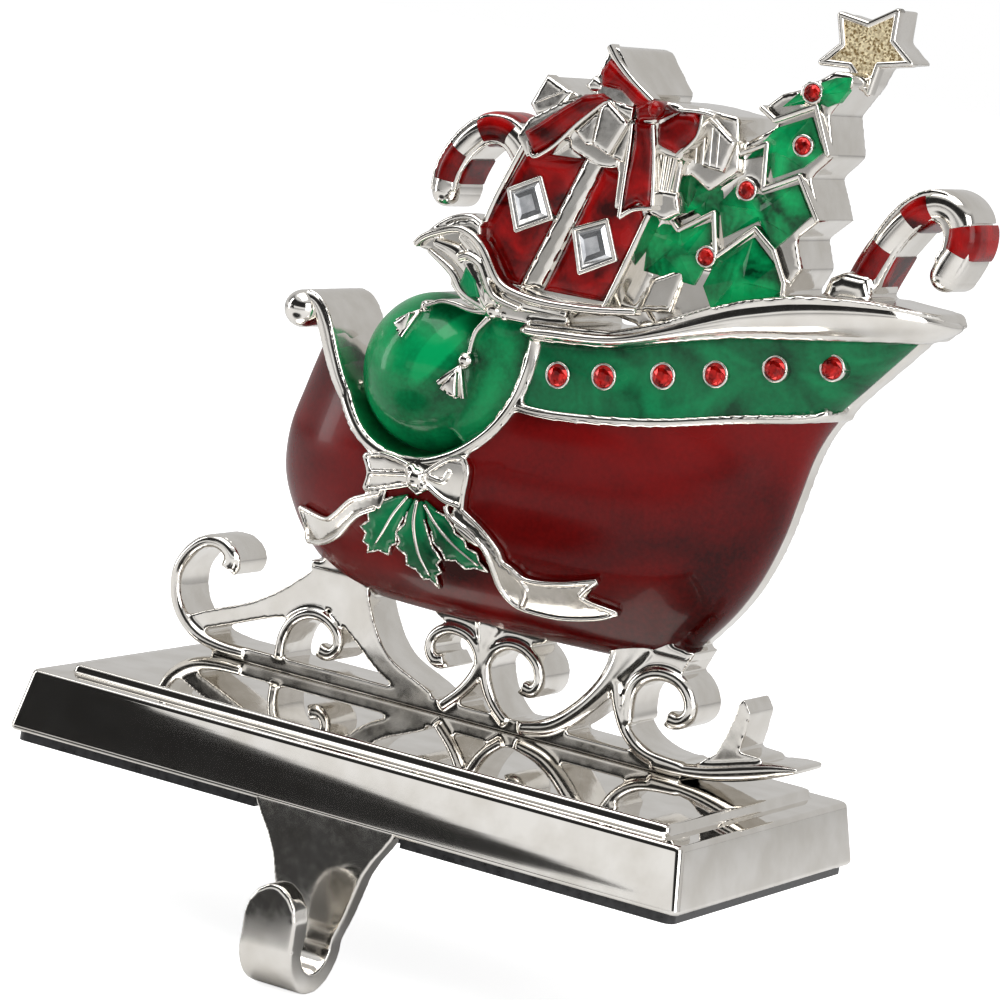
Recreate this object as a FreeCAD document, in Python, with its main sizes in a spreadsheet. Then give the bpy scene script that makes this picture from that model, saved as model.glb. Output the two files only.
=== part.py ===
import FreeCAD, Part
import math
import os
import Sketcher

# A mantel stocking holder: a plated slab with a J-hook, and a sleigh figure in relief that stands on it.
# X runs along the slab, Y towards the wall and Z up. The origin is the middle of the pad's underside.
V = FreeCAD.Vector
doc = FreeCAD.newDocument("mantel_stocking_holder")

# Driving dimensions in millimetres and degrees
SIZES = [
    ("base_length", 120), ("base_depth", 63), ("base_side_height", 10.1), ("base_side_taper", 10),
    ("ledge_width", 4.3), ("plateau_rise", 1.5), ("base_edge_radius", 0.6),
    ("pad_thickness", 1.5), ("pad_inset", 1.1), ("pad_corner_radius", 1.5),
    ("hook_offset", -0.8), ("hook_width", 9.2), ("hook_root_width", 25.2), ("hook_neck_width", 15),
    ("hook_thickness", 3.3), ("hook_bend_radius", 4.3), ("hook_drop", 16.9), ("hook_finger_rise", 9.6),
    ("hook_finger_extra", 0.8),
    ("screw_spacing", 64), ("screw_diameter", 3.5), ("screw_head_diameter", 6.5), ("screw_head_height", 2),
    ("screw_reach", 1.8), ("screw_clearance", 0.25), ("pad_notch_gap", 0.5),
    ("sleigh_length", 129), ("sleigh_height", 122), ("sleigh_back", 16), ("side_band", 3.5),
    ("runner_depth", 8.8), ("enamel_thickness", 0.8), ("rim_height", 0.9), ("rolled_rim_height", 1.8),
    ("ribbon_height", 1.3), ("dash_rim_depth", 17.2), ("sack_radius", 12.9), ("sack_depth", 10), ("gift_depth", 16.4),
    ("tree_depth", 12.6), ("star_depth", 6.5), ("star_radius", 7.8), ("cane_depth", 9),
    ("cane_width", 4.8), ("band_stone_diameter", 3.6), ("tree_stone_diameter", 2.8),
    ("gift_stone_width", 5.6), ("setting_wall", 0.35), ("stone_height", 1.1),
]
sheet = doc.addObject("Spreadsheet::Sheet", "sizes")
for row, (alias, value) in enumerate(SIZES, start=1):
    sheet.set("A%d" % row, alias)
    sheet.set("B%d" % row, str(value))
    sheet.setAlias("B%d" % row, alias)
doc.recompute()


def size(alias):
    return float(getattr(sheet, alias))


def bind(feature, prop, expression):
    feature.setExpression(prop, expression)


# Base: a tapered slab with a raised top, all one casting with the hook

def origin_plane(body, role):
    return [feature for feature in body.Origin.OriginFeatures if feature.Role == role][0]


def plane_sketch(body, name, role, height):
    sketch = body.newObject("Sketcher::SketchObject", name)
    sketch.AttachmentSupport = [(origin_plane(body, role), "")]
    sketch.MapMode = "FlatFace"
    bind(sketch, "AttachmentOffset.Base.z", height)
    return sketch


def bound(sketch, name, kind, *refs_and_expression):
    *refs, start, expression = refs_and_expression
    index = sketch.addConstraint(Sketcher.Constraint(kind, *refs, start))
    sketch.renameConstraint(index, name)
    bind(sketch, "Constraints." + name, expression)


def rectangle_sketch(body, name, height, width, depth):
    sketch = plane_sketch(body, name, "XY_Plane", height)
    corners = [V(-9, -5, 0), V(9, -5, 0), V(9, 5, 0), V(-9, 5, 0)]
    for i in range(4):
        sketch.addGeometry(Part.LineSegment(corners[i], corners[(i + 1) % 4]))
    for i in range(4):
        sketch.addConstraint(Sketcher.Constraint("Coincident", i, 2, (i + 1) % 4, 1))
        sketch.addConstraint(Sketcher.Constraint("Vertical" if i % 2 else "Horizontal", i))
    sketch.addConstraint(Sketcher.Constraint("Symmetric", 0, 1, 2, 1, -1, 1))
    bound(sketch, "width", "DistanceX", 0, 1, 0, 2, 18.0, width)
    bound(sketch, "depth", "DistanceY", 1, 1, 1, 2, 10.0, depth)
    return sketch


def circles_sketch(body, name, height, diameter):
    """Two holes or shanks on the slab's long axis, one screw spacing apart."""
    sketch = plane_sketch(body, name, "XY_Plane", height)
    bind(sketch, "AttachmentOffset.Base.y", "sizes.sleigh_back - sizes.runner_depth / 2")
    for i, side in enumerate((-1, 1)):
        sketch.addGeometry(Part.Circle(V(side * 20, 0, 0), V(0, 0, 1), 2))
        bound(sketch, "diameter%d" % i, "Diameter", i, 4.0, diameter)
    sketch.addConstraint(Sketcher.Constraint("PointOnObject", 0, 3, -1))
    sketch.addConstraint(Sketcher.Constraint("Symmetric", 0, 3, 1, 3, -1, 1))
    bound(sketch, "spacing", "DistanceX", 0, 3, 1, 3, 40.0, "sizes.screw_spacing")
    return sketch


def pad(body, name, sketch, length, taper=None):
    feature = body.newObject("PartDesign::Pad", name)
    feature.Profile = sketch
    bind(feature, "Length", length)
    if taper:
        bind(feature, "TaperAngle", taper)
    doc.recompute()
    return feature


def pocket(body, name, sketch, depth):
    """Cuts upwards from the sketch, and makes sure that it did cut."""
    before = body.Tip.Shape.Volume
    feature = body.newObject("PartDesign::Pocket", name)
    feature.Profile = sketch
    feature.Reversed = True
    bind(feature, "Length", depth)
    doc.recompute()
    if feature.Shape.Volume >= before:
        raise ValueError(name + " cuts nothing")
    return feature


def round_edges(body, name, wanted, radius):
    """Rounds those edges of the body's last feature whose middle passes the test."""
    base = body.Tip
    names = []
    for i, edge in enumerate(base.Shape.Edges, start=1):
        middle = edge.valueAt((edge.FirstParameter + edge.LastParameter) / 2)
        if wanted(edge, middle):
            names.append("Edge%d" % i)
    feature = body.newObject("PartDesign::Fillet", name)
    feature.Base = (base, names)
    bind(feature, "Radius", radius)
    doc.recompute()
    return feature


base = doc.addObject("PartDesign::Body", "slab_body")
FOOT = "sizes.pad_thickness"
SHOULDER = FOOT + " + sizes.base_side_height"
SIDE_RUN = "2 * sizes.base_side_height * tan(sizes.base_side_taper * 1 deg)"
slab_foot = rectangle_sketch(base, "slab_foot", FOOT, "sizes.base_length", "sizes.base_depth")
pad(base, "slab", slab_foot, "sizes.base_side_height", "-sizes.base_side_taper")
plateau_foot = rectangle_sketch(
    base, "plateau_foot", SHOULDER,
    "sizes.base_length - %s - 2 * sizes.ledge_width" % SIDE_RUN,
    "sizes.base_depth - %s - 2 * sizes.ledge_width" % SIDE_RUN)
pad(base, "plateau", plateau_foot, "sizes.plateau_rise", "-sizes.base_side_taper")
base_top = size("pad_thickness") + size("base_side_height") + size("plateau_rise")
round_edges(base, "soft_edges", lambda edge, middle: middle.z > size("pad_thickness") + 1,
            "sizes.base_edge_radius")


pocket(base, "screw_head_seats", circles_sketch(
    base, "head_circles", FOOT, "sizes.screw_head_diameter + 2 * sizes.screw_clearance"),
    "sizes.screw_head_height")
pocket(base, "screw_holes", circles_sketch(
    base, "shank_circles", FOOT, "sizes.screw_diameter + 2 * sizes.screw_clearance"),
    "sizes.base_side_height + sizes.plateau_rise + 1")


# The hook hangs flush with the front face: a flared strap, a round bend and a raised finger
def solid_between(points, front, back, curved=()):
    """A plate with an XZ outline, from y = front to y = back; a curved index starts an arc."""
    edges = []
    count = len(points)
    i = 0
    while i < count:
        if i in curved:
            edges.append(Part.Arc(points[i], points[i + 1], points[(i + 2) % count]).toShape())
            i += 2
        else:
            edges.append(Part.LineSegment(points[i], points[(i + 1) % count]).toShape())
            i += 1
    face = Part.Face(Part.Wire(edges))
    face.translate(V(0, front, 0))
    return face.extrude(V(0, back - front, 0))


def shape_hook():
    front = -size("base_depth") / 2
    back = front + size("hook_thickness")
    root, neck, waist = (size(name) / 2 for name in ("hook_root_width", "hook_neck_width", "hook_width"))
    foot = size("pad_thickness")
    bend = -size("hook_drop")
    neck_z = (foot + bend) / 2
    flare = ((root + 2 * neck) / 3, (foot + neck_z) / 2)
    strap = solid_between(
        [V(-root, 0, foot), V(root, 0, foot), V(flare[0], 0, flare[1]), V(neck, 0, neck_z), V(waist, 0, bend),
         V(-waist, 0, bend), V(-neck, 0, neck_z), V(-flare[0], 0, flare[1])],
        front, back, curved=(1, 6))
    inner = size("hook_bend_radius")
    outer = inner + size("hook_thickness")
    centre_y = front - inner
    tube = Part.makeCylinder(outer, 2 * waist, V(-waist, centre_y, bend), V(1, 0, 0))
    bore = Part.makeCylinder(inner, 2 * waist, V(-waist, centre_y, bend), V(1, 0, 0))
    below = Part.makeBox(2 * waist, 2 * outer, outer, V(-waist, centre_y - outer, bend - outer))
    curl = tube.cut(bore).common(below)
    tip = bend + size("hook_finger_rise")
    finger_back = centre_y - inner + size("hook_finger_extra")
    round_start = tip - waist
    finger = solid_between(
        [V(-waist, 0, bend), V(waist, 0, bend), V(waist, 0, round_start), V(0, 0, tip), V(-waist, 0, round_start)],
        centre_y - outer, finger_back, curved=(2,))
    hook = strap.fuse([curl, finger]).removeSplitter()
    hook.translate(V(size("hook_offset"), 0, 0))
    return hook


# Sleigh: outlines are drawn in the XZ plane in millimetres, with z measured above the mantel
DRAWN_LENGTH = 129
DRAWN_HEIGHT = 122
DRAWN_TOP = 13.1
BACK = size("sleigh_back")
STRETCH_X = size("sleigh_length") / DRAWN_LENGTH
STRETCH_Z = size("sleigh_height") / DRAWN_HEIGHT


def spot(x, z, y=0.0):
    """A drawn point at its place on the real sleigh, which stands on the slab's top."""
    return V(x * STRETCH_X, y, base_top + (z - DRAWN_TOP) * STRETCH_Z)


def smooth_edge(points):
    curve = Part.BSplineCurve()
    curve.interpolate(points)
    return curve.toShape()


def plate(outline, front, back=BACK):
    """A plate with a polygon as its XZ outline."""
    points = [spot(x, z, front) for x, z in outline]
    return Part.Face(Part.makePolygon(points + [points[0]])).extrude(V(0, back - front, 0))


def strip_face(path, widths, y):
    """A flat strip along a smooth path, as wide at each of its points as the list says."""
    centre = Part.BSplineCurve()
    centre.interpolate([spot(x, z, y) for x, z in path])
    lengths = [centre.parameter(spot(x, z, y)) for x, z in path]
    left, right = [], []
    for i, t in enumerate(lengths):
        width = widths[min(i, len(widths) - 1)]
        along = centre.tangent(t)[0]
        side = V(-along.z, 0, along.x) * (width / 2)
        middle = centre.value(t)
        left.append(middle + side)
        right.append(middle - side)
    wire = Part.Wire([smooth_edge(left), Part.LineSegment(left[-1], right[-1]).toShape(),
                      smooth_edge(list(reversed(right))), Part.LineSegment(right[0], left[0]).toShape()])
    return Part.Face(wire)


def strip(path, widths, front, back=BACK):
    return strip_face(path, widths, front).extrude(V(0, back - front, 0))


def button(x, z, diameter, front, back=BACK):
    start = spot(x, z, front)
    return Part.makeCylinder(diameter / 2, back - front, start, V(0, 1, 0))


# Body of the sleigh: level sections, each a height, its left and right ends and how far forward it bulges
BODY_LEVELS = [
    (29.2, -24.5, 28.5, 7.0), (31.2, -30.2, 34.4, 4.0), (35, -35.0, 38.0, 1.0), (40, -38.6, 41.8, -1.6),
    (46, -41.0, 45.0, -3.8), (53, -41.2, 47.4, -4.8), (60, -39.6, 48.9, -4.2), (67, -37.8, 50.5, -2.9),
    (73, -36.0, 53.4, -2.1), (79, -34.5, 58.2, -2.2), (86, -33.5, 64.2, -3.2), (93.5, -32.5, 71.0, -4.6),
]
SHOULDER_Y = BACK - size("side_band")
ROUNDNESS = 2.3
ARC_STEPS = 10


def bulge_wire(level, grow):
    z, left, right, front = level
    start, end = left * STRETCH_X - grow, right * STRETCH_X + grow
    middle, half = (start + end) / 2, (end - start) / 2
    reach = SHOULDER_Y - front + grow
    height = spot(0, z).z
    points = []
    for i in range(ARC_STEPS + 1):
        angle = math.pi * i / ARC_STEPS
        across = math.copysign(abs(math.cos(angle)) ** (2 / ROUNDNESS), -math.cos(angle))
        out = abs(math.sin(angle)) ** (2 / ROUNDNESS)
        points.append(V(middle + half * across, SHOULDER_Y - reach * out, height))
    left_back, right_back = V(start, BACK, height), V(end, BACK, height)
    return Part.Wire([Part.LineSegment(left_back, points[0]).toShape(), smooth_edge(points),
                      Part.LineSegment(points[-1], right_back).toShape(),
                      Part.LineSegment(right_back, left_back).toShape()])


def barrel(grow):
    """The sleigh's bulged body, grown evenly by the given amount at its front and ends."""
    return Part.makeLoft([bulge_wire(level, grow) for level in BODY_LEVELS], True, False)


ENAMEL = size("enamel_thickness")
RIM = size("rim_height")
CORE_FORM = barrel(-ENAMEL)
SKIN_FORM = barrel(0.0)
RIM_FORM = barrel(RIM)
ROLLED_FORM = barrel(size("rolled_rim_height"))
RIBBON_FORM = barrel(size("ribbon_height"))
FAR_FRONT = -30.0


def front_of(x, z, form=SKIN_FORM):
    """How far forward a form's surface lies at a drawn point."""
    ray = Part.LineSegment(spot(x, z, FAR_FRONT), spot(x, z, BACK - 0.1)).toShape()
    return ray.common(form).BoundBox.YMin


# The dash: its rim runs from a curled ball down round the sack and up to the rim band's left end
DASH_BALL = (-36.6, 73.2)
DASH_BALL_RADIUS = 3.0
DASH_RIM = [(-36.0, 75.2), (-34.0, 74.6), (-32.0, 71.9), (-30.2, 68), (-28, 63.8), (-25, 59.8), (-21.5, 56.4),
            (-18, 54.6), (-14, 53.8), (-9, 54.0), (-5.0, 55.3), (-1.2, 57.6), (2.2, 60.8), (4.2, 63.9),
            (5.6, 67.3), (6.4, 71.5), (6.7, 75.1), (6.8, 78.5)]
HULL_TOP_LEFT = 14
DASH_RIM_WIDTHS = [2.6, 2.8, 2.8, 2.7, 2.6, 2.4, 2.2, 2.0, 1.9, 1.9, 2.0, 2.0, 2.1, 2.2, 2.3, 2.4, 2.4, 2.4]
UPPER_RIM_TOP = [(5.6, 79.2), (10, 79.6), (20, 80.6), (28, 83.5), (35, 86.9), (41, 89.4), (50, 91.8), (60, 92.8),
                 (69, 92.3), (71.6, 91.4)]
UPPER_RIM_FOOT = [(6.4, 76.6), (10, 76.8), (20, 77.9), (30, 80.7), (40, 83.3), (50, 84.9), (60, 86.5),
                  (67, 87.6)]
LOWER_RIM = [(5.6, 65.9), (10, 65.7), (20, 66.6), (30, 68.2), (40, 70.6), (50, 72.6), (58, 74.6), (66, 77.6)]
LOWER_RIM_WIDTH = 1.5
RIM_END = (72, 89.8)
BALL_SETBACK = 1.2


def body_region():
    far_corners = [(80, 91.5), (80, 25), (-46, 25), (-46, 73.5)]
    return DASH_RIM + UPPER_RIM_TOP[1:] + far_corners


def body_pieces():
    slab = Part.makeBox(300, size("side_band"), 200, V(-150, SHOULDER_Y, 0))
    core = CORE_FORM.fuse(SKIN_FORM.common(slab))
    dash_front = BACK - size("dash_rim_depth")
    ball_at = spot(*DASH_BALL, dash_front + BALL_SETBACK)
    rolled = plate(UPPER_RIM_FOOT + [RIM_END] + list(reversed(UPPER_RIM_TOP)), FAR_FRONT)
    lower = strip(LOWER_RIM, [LOWER_RIM_WIDTH], FAR_FRONT)
    edge = strip(DASH_RIM, DASH_RIM_WIDTHS, FAR_FRONT)
    return [
        core.common(plate(body_region(), FAR_FRONT)),
        strip(DASH_RIM, DASH_RIM_WIDTHS, dash_front),
        Part.makeCylinder(DASH_BALL_RADIUS, BACK - ball_at.y, ball_at, V(0, 1, 0)),
        Part.makeSphere(DASH_BALL_RADIUS, ball_at),
        ROLLED_FORM.common(rolled),
        RIM_FORM.common(lower),
        RIM_FORM.common(edge),
    ]


# Runner: a rail with a curled front, a rising tail, struts and four scrolls
RAIL_BAR = [(-48.5, 13.1), (39, 13.1), (39, 15.5), (-46, 15.5)]
RAIL_CURL = ([(-47.6, 27.6), (-47.2, 29.6), (-48.6, 31.0), (-50.6, 31.5), (-53, 30.9), (-55.4, 28.7), (-56.9, 25.8),
              (-56.9, 22.4), (-55.8, 19.4), (-53.5, 16.9), (-50.5, 15.3), (-46.5, 14.6), (-42, 14.5)],
             [3.2, 3.0, 2.6, 2.2, 2.1, 2.1, 2.1, 2.1, 2.2, 2.3, 2.2, 2.0, 1.6])
RAIL_TAIL = ([(34, 14.4), (39, 14.6), (44, 15.3), (50, 16.9), (54.5, 18.2), (58.6, 19.2)],
             [1.6, 2.2, 2.7, 3.0, 2.4, 0.9])
STRUTS = [
    ([(-53.5, 17.0), (-48.8, 19.0), (-44, 20.8), (-39, 23.0), (-35, 24.8), (-31.5, 27), (-27.5, 30), (-26, 33)],
     [2.6, 3.0, 3.0, 3.6, 5.2, 6.4, 8, 8]),
    ([(-26.5, 33), (-25, 28.6), (-22.4, 25.2), (-19.4, 21.7), (-16.1, 18.7), (-12.4, 16.9), (-7, 15)],
     [12, 9, 6.2, 4.2, 3.4, 3.2, 2.4]),
    ([(-4.5, 14.6), (-1.4, 17.6), (0.6, 20.6), (1.6, 24.2), (1.8, 27.5), (2, 32)], [2.0, 2.2, 2.4, 2.6, 5, 8]),
    ([(7.5, 14.6), (4.6, 17.2), (2.8, 20.2), (1.8, 24.2)], [2.0, 2.0, 2.2, 2.4]),
    ([(27.5, 33), (26.5, 29.5), (24.3, 25.2), (20.3, 20), (15.5, 16), (10, 14.5)], [9, 6.4, 4.0, 3.2, 3.0, 2.2]),
    ([(25.5, 25.5), (26.6, 21.8), (28.8, 18), (32.5, 15.6), (39, 14.8)], [2.4, 2.2, 2.1, 2.2, 2.4]),
]
SCROLLS = [
    ([(-35.4, 15.4), (-35.3, 19), (-33.9, 21.9), (-31.2, 23.7), (-28.2, 23.7), (-25.6, 22), (-24.9, 19.7),
      (-26.2, 18.1), (-28.2, 18.4)], [2.0, 1.9, 1.9, 2.0, 2.0, 2.0, 2.0, 2.2, 2.6]),
    ([(1.4, 22), (0.6, 24.7), (-1.6, 26.8), (-5, 27.2), (-7.6, 25.6), (-8.2, 23.3), (-7, 21.6), (-5.2, 22)],
     [2.0, 2.0, 2.0, 2.0, 2.0, 2.0, 2.2, 2.6]),
    ([(2.0, 22.5), (3.2, 25.4), (5.6, 27), (8.6, 26.9), (11.2, 25.1), (12.1, 22.5), (11.2, 20.7), (9.4, 21)],
     [2.0, 2.0, 2.0, 2.0, 2.0, 2.0, 2.2, 2.8]),
    ([(28.6, 19.6), (28.1, 23), (28.7, 25.9), (30.6, 27.8), (33.3, 28.6), (36.3, 28), (38.3, 26), (38.8, 23.6),
      (37.4, 21.9), (35.3, 22)], [2.0, 2.2, 2.3, 2.4, 2.4, 2.4, 2.4, 2.4, 2.4, 3.0]),
]
TAIL_FIN = [(40, 15.2), (44.2, 18.4), (45.5, 21.7), (46.5, 25.2), (46.8, 27.2), (47.6, 28), (49, 26), (48.7, 22.6),
            (48.2, 19.8), (52, 19.6), (50, 16)]
HULL_BRIDGES = [[(3, 31.5), (-10, 31.5), (-8, 28.9), (-5, 27.4), (8, 27.2), (12, 28.6), (14, 31.5)],
                [(26, 31.5), (30, 28.2), (36, 28.4), (38, 33), (28, 34)]]


def runner_pieces():
    front = BACK - size("runner_depth")
    pieces = [strip(path, widths, front) for path, widths in [RAIL_CURL, RAIL_TAIL] + STRUTS + SCROLLS]
    return pieces + [plate(outline, front) for outline in [RAIL_BAR, TAIL_FIN] + HULL_BRIDGES]


# Sack: a ball-shaped bag with a ruffled neck
SACK_MIDDLE = (-13.0, 67.2)
SACK_PLANE = 4.0
RUFFLE = [(-16.8, 87.2), (-15.8, 88.5), (-13, 90.6), (-10, 92.3), (-7, 93.2), (-5.6, 92.2), (-5.2, 89), (-3, 85.6),
          (0, 83.6), (5, 82.6), (12, 82.2), (12, 79), (-2, 78.6), (-7, 80.2), (-9.5, 82.4), (-9.8, 84.6),
          (-11.4, 85.4), (-14, 86.6)]
RUFFLE_FRONT = -3.0
SACK_KNOTS = [(-14.0, 77.9, 1.0), (-4.6, 71.1, 1.3), (-1.5, 79.5, 1.9)]
TASSEL_HEIGHT = 0.7
TASSELS = [[(-14.3, 77.3), (-17.3, 74.7), (-15.2, 73.0)],
           [(-4.7, 69.9), (-7.2, 67.0), (-5.6, 65.4), (-4.1, 65.2)]]
SACK_CURVE = (size("sack_radius") ** 2 + size("sack_depth") ** 2) / (2 * size("sack_depth"))
SACK_CENTRE = spot(*SACK_MIDDLE, SACK_PLANE + SACK_CURVE - size("sack_depth"))


def sack_ball(grow):
    """The bag's bulging front: a ball cut off flat at the sack's plane."""
    ball = Part.makeSphere(SACK_CURVE + grow, SACK_CENTRE)
    wide = 4 * size("sack_radius")
    ahead = Part.makeBox(wide, wide, wide, V(SACK_CENTRE.x - wide / 2, SACK_PLANE - wide, SACK_CENTRE.z - wide / 2))
    return ball.common(ahead)


def sack_front(x, z):
    """How far forward the sack's enamel lies at a drawn point."""
    reach = math.dist((x, z), SACK_MIDDLE)
    return min(SACK_PLANE, SACK_CENTRE.y - math.sqrt(max(0.0, SACK_CURVE ** 2 - reach ** 2)))


def sack_pieces():
    back_disc = button(*SACK_MIDDLE, 2 * size("sack_radius"), SACK_PLANE)
    pieces = [sack_ball(-ENAMEL), back_disc, plate(RUFFLE, RUFFLE_FRONT)]
    for x, z, radius in SACK_KNOTS:
        pieces.append(button(x, z, 2 * radius, sack_front(x, z) - radius))
    for outline in TASSELS:
        foremost = min(sack_front(x, z) for x, z in outline)
        pieces.append(plate(outline, foremost - TASSEL_HEIGHT, SACK_PLANE))
    return pieces


# Gift with its big bow: one faceted block tilted to the left, with flat inlaid panels
GIFT_FRONT = BACK - size("gift_depth")
GIFT = [(-6.8, 93), (-4, 88), (-1.5, 84.5), (2, 82), (16.5, 82), (22, 98.5), (17.5, 106), (9, 108), (-1.8, 105.8)]
GIFT_PANELS = [[(-5.4, 93), (-2.6, 88.4), (0.2, 84.8), (8.0, 105.4), (-0.9, 104.5)],
               [(5.4, 84.4), (15.7, 84.4), (20.4, 98.2), (16.6, 104), (12.6, 104.4)]]
GIFT_STONES = [(1.0, 97.0), (13.5, 92.6)]
GIFT_TILT = 27
BOW_FRONT = GIFT_FRONT - 2.2
BACK_FACETS_SETBACK = 4.4
BOW_BLOCKS = [
    ([(10, 118.4), (11.6, 123.5), (13.2, 123.1), (18, 117.2), (16.8, 114), (10.6, 115)], 0.0),
    ([(-2.4, 107), (-0.8, 110), (4, 113.2), (10.5, 116), (12, 113), (8, 110), (4, 106.4), (0, 104)], 0.4),
    ([(8.4, 115.6), (17.4, 115.4), (17.2, 105.4), (12.8, 104.6), (7.2, 106.6), (5.8, 110)], 0.8),
    ([(18, 111), (20, 116.4), (24, 116.6), (27.6, 115.4), (26.4, 108), (21, 108.6)], 0.2),
    ([(16.4, 113), (15.8, 107), (16.4, 98.8), (22.2, 100.4), (21.2, 107), (20, 113)], 0.3),
    ([(-1.6, 112.3), (0.3, 117), (5.6, 115), (9.4, 115.8), (9, 110), (1, 110.6)], 3.0),
    ([(21, 109.2), (25.8, 108.2), (25.8, 101), (21.2, 101.8)], 2.2),
    ([(24.6, 116.6), (33, 116), (34.4, 108), (30, 104), (24.6, 107)], 4.0),
]
BOW_INLAYS = [([(10.4, 118.4), (10.9, 121.8), (16.4, 116.6), (11.4, 116.2)], 0),
              ([(-1.2, 107.2), (4, 111.8), (9.6, 114.4), (10.4, 113), (4, 108), (0.2, 105.6)], 1),
              ([(21.4, 114.8), (26.4, 114.4), (25.4, 109.4), (22, 109.8)], 3),
              ([(17.2, 106.8), (17.6, 100.4), (20.8, 101.4), (19.8, 106.8), (18.8, 111.4), (17.6, 111.4)], 4)]
BOW_KNOT = (20.4, 114.2, 1.6)
BACK_FACETS = [(16.8, 82), (18.2, 94), (23.5, 101), (33.5, 108), (34, 95), (30, 80)]


def square_wire(x, z, width, y):
    """A square about a drawn point, turned with the gift."""
    middle = spot(x, z, y)
    corners = []
    for i in range(4):
        angle = math.radians(GIFT_TILT + 45 + 90 * i)
        corners.append(middle + V(math.cos(angle), 0, math.sin(angle)) * (width / math.sqrt(2)))
    return Part.makePolygon(corners + [corners[0]])


def gift_pieces():
    pieces = [plate(GIFT, GIFT_FRONT), plate(BACK_FACETS, GIFT_FRONT + BACK_FACETS_SETBACK)]
    for outline, setback in BOW_BLOCKS:
        pieces.append(plate(outline, BOW_FRONT + setback))
    x, z, radius = BOW_KNOT
    pieces.append(button(x, z, 2 * radius, BOW_FRONT - radius / 2))
    width = size("gift_stone_width") + 2 * size("setting_wall")
    for x, z in GIFT_STONES:
        setting = Part.Face(square_wire(x, z, width, GIFT_FRONT - RIM))
        pieces.append(setting.extrude(V(0, BACK - GIFT_FRONT + RIM, 0)))
    return pieces


# Tree with three zigzag tiers, its star, and the two candy canes
TREE_FRONT = BACK - size("tree_depth")
TREE = [(49.5, 125.6), (46.5, 125.4), (42, 122), (38.5, 120.6), (36, 118.2), (38.8, 116), (34, 112.4),
        (30.8, 109.2), (33, 106.6), (24.6, 107.2), (24.2, 101.6), (22, 99), (19.6, 96.6), (19, 88), (26, 80),
        (46, 84), (46.4, 88), (45, 91.5), (46.6, 95), (44.9, 99.5), (48.4, 103), (45.6, 109), (48.2, 112.8),
        (49.2, 119), (50, 124)]
TREE_PANELS = [
    [(48.8, 124.4), (42.2, 121.2), (38.4, 119), (44.6, 120.4), (48.2, 115.4)],
    [(38.8, 115.4), (44.2, 118), (47, 113), (44.2, 110.2), (39.6, 107.8), (38, 111.4), (34.6, 109.8)],
    [(38.2, 105), (43.8, 107.6), (46.8, 103.2), (44, 99.8), (41.8, 97.4), (38.4, 101), (33, 97.4), (31.4, 102.4),
     (34, 106)],
    [(25.4, 106), (31.8, 105.8), (30.2, 102.6), (25.8, 99.8)],
    [(20.4, 95.8), (25.8, 97), (30.4, 99.4), (31.4, 94.4), (29.4, 89.4), (20.6, 90)],
    [(32.6, 94), (38, 98.4), (42.4, 94.8), (44, 91.2), (41, 88.6), (33, 86.4), (31, 89.6)],
]
TREE_STONES = [(43.5, 121.4), (43.7, 113.5), (35.6, 105.0), (31.0, 94.2)]
STAR_MIDDLE = (47.9, 129.0)
STAR_TURN = 62
STAR_FRONT = BACK - size("star_depth")
STAR_INNER = 0.5
STAR_RIM_WIDTH = 1.4
GLITTER_HEIGHT = 0.4
CANE_FRONT = BACK - size("cane_depth")
RIGHT_CANE = [(54.6, 91.2), (55.3, 94.3), (56.3, 97.3), (58.6, 102.6), (61.6, 106.6), (64.8, 108.3), (67.6, 107.2),
              (69.2, 104.6), (69.2, 101.6), (67.6, 98.6)]
LEFT_CANE = [(-18.9, 95.4), (-18.5, 99.2), (-16.5, 103.2), (-13.2, 106.2), (-9.4, 106.6), (-6, 104.2),
             (-4.2, 100.2), (-3.6, 95)]
COLLAR_HEIGHT = 1.0
CANE_COLLAR = [(49, 89), (50.2, 94.4), (52.6, 95.8), (56.4, 95.6), (58.2, 91), (58, 88)]
CANE_STRIPES_RIGHT = [(1, 3), (4, 6), (7, 9)]
CANE_STRIPES_LEFT = [(0, 2), (3, 5)]


def star_wire(radius, y):
    middle = spot(*STAR_MIDDLE, y)
    points = []
    for i in range(10):
        angle = math.radians(STAR_TURN + 36 * i)
        reach = radius * (STAR_INNER if i % 2 else 1.0)
        points.append(middle + V(math.cos(angle), 0, math.sin(angle)) * reach)
    return Part.makePolygon(points + [points[0]])


def star_plate(radius, front, back):
    return Part.Face(star_wire(radius, front)).extrude(V(0, back - front, 0))


def tree_pieces():
    star = star_plate(size("star_radius"), STAR_FRONT, BACK)
    pieces = [plate(TREE, TREE_FRONT), star, plate(CANE_COLLAR, CANE_FRONT - COLLAR_HEIGHT)]
    for x, z in TREE_STONES:
        pieces.append(button(x, z, size("tree_stone_diameter") + 2 * size("setting_wall"), TREE_FRONT - RIM))
    for x, z in BAND_STONES:
        pieces.append(button(x, z, size("band_stone_diameter") + 2 * size("setting_wall"),
                             front_of(x, z) - size("setting_wall")))
    return pieces


def cane(path):
    return strip(path, [size("cane_width")], CANE_FRONT)


def cane_stripes(path, spans):
    """The coloured lengths of a cane, each laid on its front between two numbered points of its path."""
    return [strip(path[start:end + 1], [size("cane_width")], CANE_FRONT - ENAMEL, CANE_FRONT)
            for start, end in spans]


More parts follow.
